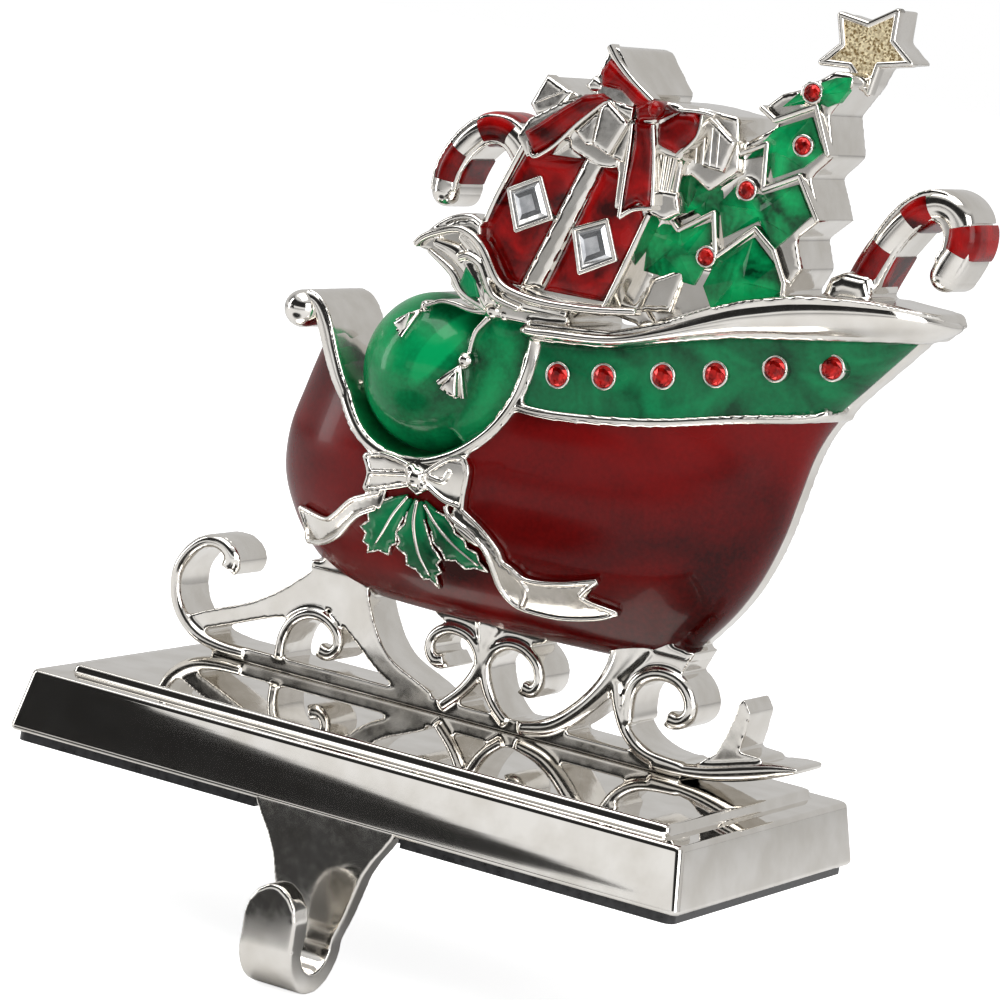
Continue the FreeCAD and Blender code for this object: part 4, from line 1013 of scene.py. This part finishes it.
def joints(points, width, front, back=HIDDEN_BACK, closed=False, bulge=0.5):
    """Straight bars from point to point with a rounded stud at each corner, for sharp bright lines."""
    run = list(points) + ([points[0]] if closed else [])
    parts = [bar([a, b], [width], front, back, bulge, steps=2) for a, b in zip(run, run[1:])]
    for x, z in run:
        level = at(front, x, z)
        ring = circle(x, z, width / 2, 16)
        crown = min(bulge, width / 2)
        shape = [[(px, y, pz) for px, pz in ring] for y in (at(back, x, z), level + crown)]
        for lift in (0.5, 0.87, 1.0):
            narrow = math.sqrt(1 - min(lift, 0.995) ** 2)
            shape.append([(x + (px - x) * narrow, level + crown - crown * lift, z + (pz - z) * narrow)
                          for px, pz in ring])
        parts.append(stacked(shape))
    return parts


print("a frame round a square stone has", len(joints(SQUARES[0], 0.75, GIFT_FRONT, closed=True)), "parts")

# %% Parcel and ribbon
piece("gift_panels", [relief(outline, GIFT_FRONT - 0.25, GIFT_FRONT + 0.6, rise=0.55, lip=2.2)
                      for outline in GIFT_FILLS], ruby_enamel, ["gift_enamel"])
gift_lines = [bar(path, widths, GIFT_FRONT - 0.95, bulge=0.5) for path, widths in GIFT_EDGES]
gift_lines += [relief(GIFT_STRIP, GIFT_FRONT - 0.65, GIFT_FRONT + 1, rise=0.35, lip=0.45)]
for square in SQUARES:
    gift_lines += joints(drawn_in(square, 0.92), 0.75, GIFT_FRONT - 1.5, GIFT_FRONT + 1, closed=True)
    gift_lines.append(relief(drawn_in(square, 0.95), GIFT_FRONT - 0.7, GIFT_FRONT + 1, rise=0.05, lip=0.5,
                             step=0.8))
piece("gift_edges", gift_lines, nickel, sharp=50)

# %% [markdown]
# The square stones are step cut, which means that they rise to a flat top in narrow terraces. Flat shading
# keeps those terraces crisp.

# %% Square stones
def step_cut(outline, seat, terraces=((0.82, 0.0), (0.80, 0.25), (0.58, 0.85), (0.36, 1.15))):
    """A stone on its seat: each terrace is a share of the outline and a height."""
    rings = [[(x, seat + 0.6, z) for x, z in drawn_in(outline, terraces[0][0])]]
    for share, height in terraces:
        rings.append([(x, seat - height, z) for x, z in drawn_in(outline, share)])
    return stacked(rings)


piece("gift_square_stones", [step_cut(square, GIFT_FRONT - 0.75) for square in SQUARES], clear_glass,
      ["gift_stones"], smooth=False)

# %% [markdown]
# The bow on the parcel has loops and a tail of red enamel with bright edges, a round red knot, and plated
# folds between them that are cut like facets. Each loop is a filled outline with a high rise, so it catches
# the light along its crown.

# %% Bow on the parcel
BOW_REDS = [
    ([(-0.7, 108.0), (1.7, 109.8), (5.5, 113.0), (8.6, 115.3), (11.7, 116.0), (13.2, 115.4), (10.5, 112.8),
      (7.7, 110.4), (5.0, 107.4), (1.6, 104.8)], -2.6, 1.3),
    ([(12.2, 121.6), (10.7, 119.3), (11.4, 117.0), (14.6, 116.9), (17.6, 115.0), (19.7, 114.6), (20.7, 116.2),
      (18.1, 117.9), (14.9, 119.8)], -2.7, 1.0),
    ([(17.7, 112.9), (21.1, 113.2), (22.1, 108.9), (23.0, 100.9), (22.2, 99.9), (20.6, 100.6), (18.1, 98.8),
      (18.0, 103.2), (18.3, 108.9)], -2.6, 1.0),
    ([(21.5, 112.9), (24.9, 115.4), (27.6, 115.6), (28.5, 114.3), (28.0, 111.9), (25.4, 108.9),
      (22.0, 109.8)], -2.2, 0.9),
    ([(17.7, 114.9), (20.0, 116.5), (23.2, 116.1), (24.8, 115.3), (21.8, 113.5), (18.6, 112.7)], -3.1, 1.2),
]
BOW_LINES = [
    ([(0.2, 106.6), (1.4, 104.5), (3.6, 105.7), (5.7, 107.7), (8.1, 110.6), (11.7, 114.2), (13.2, 115.1)],
     0.75, -3.2),
    ([(11.6, 123.3), (13.4, 121.2), (16.6, 118.6), (20.3, 116.2)], 1.15, -3.4),
    ([(17.5, 112.3), (17.7, 108.8), (17.8, 103.1), (17.9, 97.9)], 0.65, -3.3),
    ([(21.1, 112.7), (22.3, 107.1), (23.2, 100.7)], 0.65, -3.3),
    ([(17.9, 97.9), (20.1, 99.5), (23.2, 100.3)], 0.8, -3.2),
    ([(24.7, 115.6), (28.6, 115.9), (30.7, 115.7)], 0.8, -2.6),
    ([(28.6, 115.9), (28.2, 112.0), (25.4, 108.6)], 0.7, -2.4),
]
BOW_FACETS = [
    ([(11.9, 114.1), (13.2, 115.1), (17.1, 112.3), (14.6, 106.7), (11.4, 108.0)], -3.1, 0.5),
    ([(7.7, 109.5), (11.7, 113.8), (11.3, 108.0), (10.1, 107.6)], -2.4, 0.5),
    ([(16.9, 112.3), (18.0, 112.2), (17.0, 106.0), (14.5, 106.6)], -2.5, 0.5),
    ([(13.0, 115.3), (17.4, 114.8), (17.4, 112.5), (15.0, 113.4)], -2.7, 0.4),
    ([(8.2, 116.7), (9.6, 118.4), (11.2, 117.8), (11.7, 116.2), (9.4, 115.8)], -2.2, 0.6),
    ([(0.4, 117.1), (5.2, 115.1), (3.5, 112.0), (-0.2, 110.4), (-1.8, 112.2)], -0.2, 0.5),
    ([(26.7, 115.8), (28.9, 115.5), (33.7, 112.3), (32.4, 107.3), (28.4, 107.6), (28.6, 112.0)], 0.9, 0.7),
    ([(16.6, 83.6), (20.0, 97.8), (22.2, 89.3), (20.6, 83.6)], 3.3, 0.3),
    ([(20.8, 83.6), (22.4, 89.2), (28.1, 92.3), (26.4, 84.6)], 3.0, 0.5),
    ([(21.6, 103.2), (26.2, 103.2), (27.2, 100.2), (24.6, 98.6), (22.0, 99.2)], -1.2, 0.4),
]
BOW_KNOT = (21.9, 115.2, 1.35, -5.6, 0)
BOW_RIBS = [
    ((22.2, 109.0), (0.9, -0.2), (22.6, 102.2), (0.65, 0.0), 0.7, -1.4, 0.4),
    ((26.9, 115.2), (1.3, -0.7), (27.6, 108.0), (1.2, 0.0), 0.45, 0.1, 0.3),
]
RIBS_IN_A_FOLD = 4
LEFT_CREASE = [(-0.6, 112.6), (3.9, 115.1)]
bow_reds = [relief(outline, front, front + 2.2, rise, lip=1.4, step=0.4) for outline, front, rise in BOW_REDS]
piece("bow_loops", bow_reds + [stud(*BOW_KNOT)], ruby_enamel, ["bow_enamel"])
bow_metal = [bar(path, [width], front, front + 2.6, bulge=0.45) for path, width, front in BOW_LINES]
bow_metal += [relief(outline, front, front + 2.8, rise, lip=0.7, step=0.4)
              for outline, front, rise in BOW_FACETS]
for top, top_step, foot, foot_step, width, front, bulge in BOW_RIBS:
    for k in range(RIBS_IN_A_FOLD):
        rib = [(x + dx * k, z + dz * k) for (x, z), (dx, dz) in ((top, top_step), (foot, foot_step))]
        bow_metal.append(bar(rib, [width], front, 2.0, bulge))
bow_metal.append(bar(LEFT_CREASE, [0.4], -1.0, 1.0, bulge=0.3))
piece("bow_folds", bow_metal, nickel, sharp=50)

# %% [markdown]
# ## The tree
# The tree leans to the right. Each tier ends in a zigzag bright line, with green enamel above it and the
# bare casting stepping back below. Round red stones sit in plated cups.

# %% Tree and facets behind the bow
TREE_PANELS = [
    [(39.2, 118.7), (41.6, 121.3), (45.0, 123.4), (47.2, 124.5), (49.6, 124.9), (49.4, 122.8), (48.3, 120.9),
     (46.6, 119.9), (44.9, 120.3), (42.0, 119.5)],
    [(38.8, 115.4), (44.2, 118), (47, 113), (44.2, 110.2), (39.6, 107.8), (38, 111.4), (34.6, 109.8)],
    [(38.2, 105), (43.8, 107.6), (46.8, 103.2), (44, 99.8), (41.8, 97.4), (38.4, 101), (33, 97.4),
     (31.4, 102.4), (34, 106)],
    [(25.4, 106), (31.8, 105.8), (30.2, 102.6), (25.8, 99.8)],
    [(20.4, 95.8), (25.8, 97), (30.4, 99.4), (31.4, 94.4), (29.4, 89.4), (20.6, 90)],
    [(32.6, 94), (38, 98.4), (42.4, 94.8), (44, 91.2), (41, 88.6), (33, 86.4), (31, 89.6)],
]
TREE_FRONT = 3.4
BACK_GREENS = [[(23.3, 106.4), (26.6, 106.9), (26.0, 101.7), (23.0, 101.2)],
               [(27.0, 106.9), (31.4, 107.4), (33.0, 100.8), (29.5, 99.0), (26.3, 100.4)],
               [(20.3, 98.2), (24.7, 98.4), (28.9, 93.4), (22.4, 89.6), (21.0, 93.3)]]
ZIGZAGS = [[(36.2, 118.0), (38.7, 116.6), (45.0, 119.8), (48.2, 113.0)],
           [(30.7, 109.0), (38.0, 112.8), (38.6, 106.0), (44.2, 109.0), (48.3, 103.0)],
           [(20.3, 98.7), (23.8, 98.9), (25.7, 97.3), (31.1, 101.0), (32.6, 94.4), (38.4, 99.9), (42.0, 97.2),
            (44.6, 92.6), (45.0, 88.6)]]


def cut_panel(outline, front, back, rise, lean=0.35):
    """A filled outline cut like a gem: a low wall, then flat facets up to a short ridge off its middle."""
    middle = np.mean(outline, axis=0)
    ridge = [tuple(middle + (np.array(p) - middle) * lean * (0.4 + 0.6 * (k % 2)))
             for k, p in enumerate(outline)]
    rings = [[(x, back, z) for x, z in outline], [(x, front, z) for x, z in outline],
             [(x, front - rise, z) for x, z in ridge]]
    return stacked(rings)


greens = [cut_panel(outline, TREE_FRONT - 0.4, TREE_FRONT + 1, 1.2) for outline in TREE_PANELS]
greens += [cut_panel(outline, 3.6, 5.5, 1.1, 0.2) for outline in BACK_GREENS]
piece("tree_green", greens, bright_green, ["tree_enamel"], smooth=False)
zigzags = []
for line in ZIGZAGS:
    zigzags += joints(line, 0.95, TREE_FRONT - 1.5, TREE_FRONT + 2)
piece("tree_edges", zigzags, nickel, sharp=50)

# %% Round stones in their cups
TREE_STONES = [(44.2, 121.7), (44.1, 113.6), (36.1, 105.4), (31.2, 94.2)]
BAND_STONES = [(11.7, 72.0), (19.4, 73.3), (29.0, 75.3), (37.3, 77.2), (46.3, 79.8), (54.5, 81.5)]
TREE_STONE_RADIUS, TREE_CUP_RADIUS = 1.35, 1.5
BAND_STONE_RADIUS, BAND_CUP_RADIUS = 1.75, 1.9


def round_cut(x, z, radius, seat, sides=10):
    """A round stone: a girdle, slanting crown facets, turned half a step, and a flat top."""
    rings = []
    for share, height, turn in ((1.0, -0.4, 0), (1.0, 0.12, 0), (0.74, 0.62, 0.5), (0.42, 0.86, 0)):
        rings.append([(px, seat - height, pz) for px, pz in circle(x, z, radius * share, sides, turn)])
    return stacked(rings)


def cup(x, z, radius, seat, back):
    """The plated cup round a stone: a ring of soft section on a disc."""
    loop = circle(x, z, radius, 32)
    loop.append(loop[0])
    return [bar(loop, [0.5], seat - 0.35, back, bulge=0.25, steps=1), stud(x, z, radius, seat - 0.02, back)]


cups, tree_stones, band_stones = [], [], []
for x, z in TREE_STONES:
    tree_stones.append(round_cut(x, z, TREE_STONE_RADIUS, TREE_FRONT - 1.35))
    cups += cup(x, z, TREE_CUP_RADIUS, TREE_FRONT - 1.3, TREE_FRONT + 1)
for x, z in BAND_STONES:
    level = min(skin(x + dx, z + dz) for dx, dz in ((-1.4, 0), (1.4, 0), (0, -1.4), (0, 1.4))) + 0.15
    band_stones.append(round_cut(x, z, BAND_STONE_RADIUS, level - 0.45))
    cups += cup(x, z, BAND_CUP_RADIUS, level - 0.35, level + 2)
piece("stone_cups", cups, nickel)
piece("tree_red_stones", tree_stones, red_glass, ["tree_stones"], smooth=False)
piece("band_red_stones", band_stones, red_glass, ["band_stones"], smooth=False)

# %% [markdown]
# ## Star and candy canes
# The star is a tray with a bright rim, filled with glitter. The canes are hooked bars with round fronts
# whose red and plated lengths bulge a little, like stripes wound round a stick, so each length is a bar of
# its own.

# %% Star
STAR_FRONT = 9.5
piece("star_rim", joints(drawn_in(STAR, 0.92), 1.1, STAR_FRONT - 0.9, STAR_FRONT + 1, closed=True), nickel,
      sharp=50)
piece("star_field", [relief(drawn_in(STAR, 0.88), STAR_FRONT - 0.3, STAR_FRONT + 0.5, rise=0.1, lip=0.6,
                            step=0.35)], gold_glitter, ["star_glitter"])

# %% Candy canes
RIGHT_CANE = [(54.2, 92.0), (55.4, 95.8), (57.6, 100.7), (60.4, 105.0), (63.0, 107.4), (65.6, 108.3),
              (68.0, 107.6), (69.5, 105.6), (69.6, 102.6), (68.4, 99.5), (67.8, 98.0)]
LEFT_CANE = [(-18.9, 95.4), (-18.5, 99.2), (-16.5, 103.2), (-13.2, 106.2), (-9.4, 106.6), (-6, 104.2),
             (-4.2, 100.2), (-3.6, 95)]
CANE_FOOT = [(49, 89), (50.2, 94.2), (52.4, 95.6), (56.2, 95.4), (58.4, 91), (58, 88)]
CANE_WIDTH, CANE_FRONT, CANE_END_RADIUS = 5.0, 6.4, 2.45
LEAST_WIDTH = {"red": 1.05, "plate": 0.95}
LENGTH_POINTS = 8
RIGHT_LENGTHS = [(0.0, 0.27, "red"), (0.27, 0.44, "plate"), (0.44, 0.56, "red"), (0.56, 0.76, "plate"),
                 (0.76, 0.88, "red"), (0.88, 1.0, "plate")]
LEFT_LENGTHS = [(0.0, 0.06, "plate"), (0.06, 0.24, "red"), (0.24, 0.40, "plate"), (0.40, 0.58, "red"),
                (0.58, 1.0, "plate")]
cane_parts = {"red": [], "plate": []}
for path, lengths in ((RIGHT_CANE, RIGHT_LENGTHS), (LEFT_CANE, LEFT_LENGTHS)):
    line = soft(path, 10)
    run = np.concatenate([[0], np.cumsum(np.linalg.norm(np.diff(line, axis=0), axis=1))])
    run /= run[-1]
    for start, end, colour in lengths:
        share = np.linspace(start, end, LENGTH_POINTS + 1)
        points = [(float(np.interp(t, run, line[:, 0])), float(np.interp(t, run, line[:, 1]))) for t in share]
        swell = [CANE_WIDTH * (LEAST_WIDTH[colour] + 0.07 * math.sin(math.pi * k / LENGTH_POINTS) ** 0.5)
                 for k in range(LENGTH_POINTS + 1)]
        cane_parts[colour].append(bar(points, swell, CANE_FRONT, bulge=2.3, steps=2, arc=14))
for x, z in (RIGHT_CANE[-1], LEFT_CANE[0]):
    cane_parts["plate"].append(rounded_post(x, z, CANE_END_RADIUS, CANE_FRONT, around=32))
cane_parts["plate"].append(relief(CANE_FOOT, 6.6, 12, rise=1.2, lip=2.5))
piece("cane_red", cane_parts["red"], ruby_enamel, ["cane_enamel"], sharp=60)
piece("cane_plate", cane_parts["plate"], nickel, sharp=60)

# %% [markdown]
# ## Ribbon and holly on the body
# Below the sack a plated ribbon is tied in a bow over three holly leaves. The ribbon lies on the curved
# skin: its middle is a filled outline, and its hems are thin bars that catch the light. The leaves are
# green enamel with plated ribs, and a small plated bud lies beside them.

# %% Ribbon
BOW_RIBBONS = [
    [(-18.8, 53.2), (-15.1, 54.0), (-10.7, 53.5), (-8.4, 54.2), (-6.4, 53.2), (-3.5, 55.7), (-0.3, 56.6),
     (0.6, 54.5), (0.5, 50.5), (0.4, 48.9), (-2.9, 49.3), (-6.0, 50.3), (-8.2, 48.8), (-10.1, 49.9),
     (-13.9, 48.9), (-18.1, 47.8), (-17.5, 50.6)],
    [(-13.9, 48.6), (-18.2, 46.6), (-20.9, 45.3), (-24.5, 42.1), (-27.1, 40.8), (-30.5, 40.9), (-32.9, 41.4),
     (-32.1, 38.0), (-32.3, 35.6), (-28.3, 36.4), (-24.3, 38.5), (-21.3, 41.5), (-19.1, 43.4), (-14.5, 45.4)],
    [(-1.0, 49.2), (3.8, 46.3), (6.9, 43.4), (7.6, 41.6), (9.2, 40.8), (12.0, 39.4), (17.4, 40.1),
     (24.0, 42.0), (21.4, 38.3), (26.9, 37.3), (23.4, 35.6), (17.4, 34.3), (12.3, 34.2), (9.2, 34.7),
     (7.0, 37.2), (5.6, 41.0), (4.3, 43.2), (1.8, 45.2), (-1.6, 46.9)],
]
HEMS = [
    ([(-18.8, 53.2), (-15.1, 54.0), (-10.7, 53.5), (-8.6, 52.6)], 0.7),
    ([(-18.1, 47.8), (-13.9, 48.9), (-10.1, 50.2), (-8.4, 51.0)], 0.7),
    ([(-18.8, 53.2), (-17.5, 50.6), (-18.1, 47.8)], 0.8),
    ([(-17.4, 50.7), (-14.6, 51.2), (-10.4, 52.0)], 0.9),
    ([(-7.4, 52.4), (-3.5, 55.6), (-0.5, 56.6)], 0.7),
    ([(-0.5, 56.6), (0.6, 54.5), (0.4, 50.5), (0.4, 48.9)], 0.8),
    ([(0.4, 48.9), (-2.9, 49.3), (-6.4, 51.0)], 0.8), ([(-6.2, 52.4), (-3.6, 52.2), (-2.4, 54.0)], 0.9),
    ([(-14.9, 47.9), (-18.2, 46.6), (-20.9, 45.3), (-24.5, 42.1), (-27.1, 40.8), (-32.9, 41.4)], 0.7),
    ([(-15.6, 45.2), (-19.1, 43.4), (-21.3, 41.5), (-24.3, 38.5), (-28.3, 36.4), (-32.3, 35.6)], 0.7),
    ([(-32.9, 41.4), (-31.8, 38.2), (-32.3, 35.6)], 0.7),
    ([(-2.6, 48.4), (-1.6, 46.9), (1.8, 45.2), (4.3, 43.2), (5.6, 41.0), (7.0, 37.2), (9.2, 34.9),
      (12.3, 34.3), (17.4, 34.4), (23.4, 35.7), (26.9, 37.3)], 0.7),
    ([(-1.0, 49.2), (3.8, 46.3), (6.9, 43.4), (7.8, 41.6), (9.4, 40.8), (12.0, 39.5), (17.4, 40.1),
      (24.0, 42.0)], 0.8),
    ([(24.0, 42.0), (21.6, 39.8), (21.4, 38.4), (26.9, 37.3)], 0.7),
    ([(9.6, 40.4), (11.6, 38.0), (10.6, 34.9)], 1.0),
]
RIBBON_KNOT = [(-8.3, 51.7, 1.7, 2.9), (-6.9, 50.6, 0.9, 2.4), (-9.4, 52.9, 0.9, 2.4)]
ribbon = [relief(outline, on_skin(0.75), on_skin(-0.4), rise=0.45, lip=1.3) for outline in BOW_RIBBONS]
ribbon += [bar(path, [width + 0.1], on_skin(1.75), on_skin(0.2), bulge=0.45) for path, width in HEMS]
ribbon += [stud(x, z, radius, skin(x, z) - proud, skin(x, z) + 1) for x, z, radius, proud in RIBBON_KNOT]
cast("ribbon_bow", ribbon, nickel, 0.2, relax=4, most=110000)

# %% Holly
HOLLY = [
    [(-10.3, 48.6), (-12.8, 47.6), (-15.2, 46.3), (-15.8, 45.0), (-17.6, 44.2), (-17.4, 42.7), (-19.2, 41.4),
     (-18.1, 40.5), (-18.9, 39.0), (-17.8, 38.5), (-18.2, 37.2), (-15.9, 38.2), (-13.9, 37.9), (-13.4, 39.4),
     (-12.2, 40.2), (-12.0, 42.2), (-10.6, 44.8), (-9.2, 47.8)],
    [(-8.7, 48.3), (-9.8, 45.8), (-10.3, 43.8), (-12.0, 42.0), (-11.4, 40.6), (-12.1, 39.6), (-10.3, 38.6),
     (-10.4, 37.0), (-8.6, 36.6), (-7.4, 35.2), (-6.2, 35.6), (-4.7, 34.4), (-5.0, 36.4), (-3.9, 37.2),
     (-4.6, 38.4), (-3.7, 39.4), (-5.2, 41.2), (-5.9, 43.2), (-6.6, 45.2), (-7.0, 48.0)],
    [(-6.8, 48.4), (-4.3, 47.1), (-2.8, 46.8), (-1.2, 45.3), (-0.9, 44.3), (0.8, 43.6), (1.2, 42.4),
     (3.0, 41.9), (3.4, 40.5), (4.8, 39.3), (2.4, 39.4), (0.8, 38.8), (-0.9, 39.9), (-2.8, 39.5),
     (-3.4, 40.8), (-4.9, 42.0), (-5.2, 43.6), (-6.0, 45.0)],
]
RIBS = [([(-9.6, 48.4), (-12.2, 45.0), (-14.2, 41.8), (-16.0, 39.2)], 0.5),
        ([(-7.8, 48.2), (-8.3, 44.0), (-7.6, 39.6), (-5.8, 36.2)], 0.6),
        ([(-6.4, 47.8), (-3.8, 44.8), (-0.8, 42.4), (3.4, 40.0)], 0.5)]
BUD_MIDDLE, BUD_HALF = (1.5, 44.6), (2.9, 0.95)
BUD_LEAN = (0.86, 0.5)


def bud_outline(count=24):
    """An oval whose long axis leans down to the right."""
    outline = []
    for angle in np.linspace(0, 2 * math.pi, count, endpoint=False):
        along, across = BUD_HALF[0] * math.cos(angle), BUD_HALF[1] * math.sin(angle)
        outline.append((BUD_MIDDLE[0] + along * BUD_LEAN[0] + across * BUD_LEAN[1],
                        BUD_MIDDLE[1] - along * BUD_LEAN[1] + across * BUD_LEAN[0]))
    return outline


piece("holly_leaves", [relief(outline, on_skin(0.7), on_skin(-0.3), rise=0.6, lip=2.0, step=0.4)
                       for outline in HOLLY], green_enamel, ["leaf_enamel"])
leaf_metal = [bar(path, [width, width, width * 0.5], on_skin(1.6), on_skin(0.4), bulge=0.3)
              for path, width in RIBS]
for outline in HOLLY:
    leaf_metal += joints(outline[1:-1], 0.36, on_skin(1.0), on_skin(0.0), bulge=0.18)
leaf_metal.append(relief(bud_outline(), on_skin(0.9), on_skin(0.0), rise=0.9, lip=1.0, step=0.3))
piece("holly_ribs", leaf_metal, nickel)

# %% [markdown]
# ## Floor and light
# The photograph is a cut-out on white, lit by big soft lights with dark gaps between them. Nickel only
# looks like nickel when it has something dark as well as something bright to reflect. So a dark card stands
# outside the view at the left, and the floor is dark in reflections close to the hook. To the camera the
# floor is white, and it keeps the shadow.

# %% Floor and dark card
def stage_sheet(name, corners, finish):
    """A flat sheet that belongs to the studio and not to the object."""
    mesh = bpy.data.meshes.new(name)
    mesh.from_pydata(corners, [], [list(range(len(corners)))])
    mesh.materials.append(finish)
    sheet = bpy.data.objects.new(name, mesh)
    bpy.context.scene.collection.objects.link(sheet)


FLOOR_LEVEL = CAD_BOX[0][2]
HOOK_REFLECTION = (-0.065, -0.125, FLOOR_LEVEL)


def backdrop(name, tone):
    """A matt surface that shows white to the camera, except where it is shaded; near the hook it is painted
    dark for reflections only.
    """
    material, tree, surface, place = blank(name)
    surface.inputs["Roughness"].default_value = 1.0
    rays = add(tree, "LightPath")
    # Painted dark reflection: round the point that the hook mirrors, the floor turns near black for glossy
    # rays only, so the strap shows a dark reflection.
    apart = add(tree, "VectorMath", {"operation": "DISTANCE"}, _0=place, _1=HOOK_REFLECTION).outputs["Value"]
    painted_dark_spot = add(tree, "MapRange", Value=apart, From_Min=0.055, From_Max=0.085, To_Min=1.0, To_Max=0.0)
    dark = add(tree, "Math", {"operation": "MULTIPLY"}, _0=painted_dark_spot.outputs["Result"],
               _1=rays.outputs["Is Glossy Ray"]).outputs[0]
    shade = add(tree, "Mix", {"data_type": "RGBA"}, Factor=dark, _6=(tone, tone, tone, 1),
                _7=(0.01, 0.01, 0.01, 1))
    tree.links.new(shade.outputs[2], surface.inputs["Base Color"])
    seen = add(tree, "Math", {"operation": "MAXIMUM"}, _0=rays.outputs["Is Camera Ray"],
               _1=rays.outputs["Is Transmission Ray"]).outputs[0]
    glow = add(tree, "Math", {"operation": "MULTIPLY"}, _0=seen, _1=0.8).outputs[0]
    surface.inputs["Emission Color"].default_value = (1, 1, 1, 1)
    tree.links.new(glow, surface.inputs["Emission Strength"])
    return material


stage_sheet("floor", [(-3, -3, FLOOR_LEVEL), (3, -3, FLOOR_LEVEL), (3, 3, FLOOR_LEVEL), (-3, 3, FLOOR_LEVEL)],
            backdrop("floor_white", 0.8))
card_black = plain("card_black", (0.004, 0.004, 0.004), (0.01, 0.01, 0.01), 20.0, 0.9, 0.0)
stage_sheet("left_card", [(-0.95, -0.70, 0.02), (-0.25, -0.70, 0.066), (-0.44, -0.70, 0.096),
                          (-0.48, -0.70, 0.24), (-0.95, -0.70, 0.24)], card_black)
print("floor at %.1f mm" % (FLOOR_LEVEL / MM))

# %% [markdown]
# The world is what the plate mirrors from above and from all round. Towards the front it has a bright band
# just above the horizon, a dark one over it and a bright ceiling, and behind the object it is a plain grey.
# Three soft lamps add the highlights. The camera itself sees white.

# %% World and lamps
SKY_BANDS = [(0.20, 0.95), (0.30, 1.00), (0.33, 0.03), (0.70, 0.02), (0.79, 0.80)]
BEHIND_GREY = (0.62, 0.615, 0.61, 1.0)
world = bpy.data.worlds.new("studio")
bpy.context.scene.world = world
world.use_nodes = True
tree = world.node_tree
sky = tree.nodes["Background"]
rays = add(tree, "LightPath")
seen = add(tree, "Math", {"operation": "MAXIMUM"}, _0=rays.outputs["Is Camera Ray"],
           _1=rays.outputs["Is Transmission Ray"]).outputs[0]
way = add(tree, "SeparateXYZ", Vector=add(tree, "TexCoord").outputs["Generated"])
high = add(tree, "MapRange", Value=way.outputs["Z"], From_Min=-0.2, From_Max=1.0).outputs["Result"]
bands = add(tree, "ValToRGB", Fac=high)
stops = bands.color_ramp.elements
stops[0].position, stops[0].color = 0.10, (0.10, 0.10, 0.11, 1)
stops[1].position, stops[1].color = 1.0, (0.30, 0.30, 0.31, 1)
for position, tone in SKY_BANDS:
    stop = stops.new(position)
    stop.color = (tone, tone, tone, 1)
behind = add(tree, "MapRange", Value=way.outputs["Y"], From_Min=-0.25, From_Max=0.35).outputs["Result"]
room = add(tree, "Mix", {"data_type": "RGBA"}, Factor=behind, _6=bands.outputs["Color"], _7=BEHIND_GREY)
mix = add(tree, "Mix", {"data_type": "RGBA"}, Factor=seen, _6=room.outputs[2], _7=(1.0, 1.0, 1.0, 1.0))
tree.links.new(mix.outputs[2], sky.inputs["Color"])
sky.inputs["Strength"].default_value = 1.0


def soft_lamp(name, place, aim, sides, power):
    """A rectangular lamp that faces a point."""
    data = bpy.data.lights.new(name, "AREA")
    data.shape = "RECTANGLE"
    data.size, data.size_y = sides
    data.energy = power
    lamp = bpy.data.objects.new(name, data)
    bpy.context.scene.collection.objects.link(lamp)
    lamp.location = place
    lamp.rotation_euler = (Vector(aim) - Vector(place)).to_track_quat("-Z", "Y").to_euler()


soft_lamp("right_window", (0.75, -0.45, 0.35), (0, 0, 0.06), (0.5, 0.7), 4.0)
soft_lamp("top_window", (-0.1, -0.15, 0.8), (0, 0, 0.05), (0.8, 0.45), 4.5)
soft_lamp("left_strip", (-0.7, -0.25, 0.25), (0, 0, 0.06), (0.12, 0.6), 1.2)
bpy.context.scene.view_settings.view_transform = "Standard"
print(len(SKY_BANDS), "steps in the sky, and", len(bpy.data.lights), "lamps")

# %% Box of the imported solids
print("cad box   ", [[round(c / MM, 1) for c in corner] for corner in CAD_BOX])
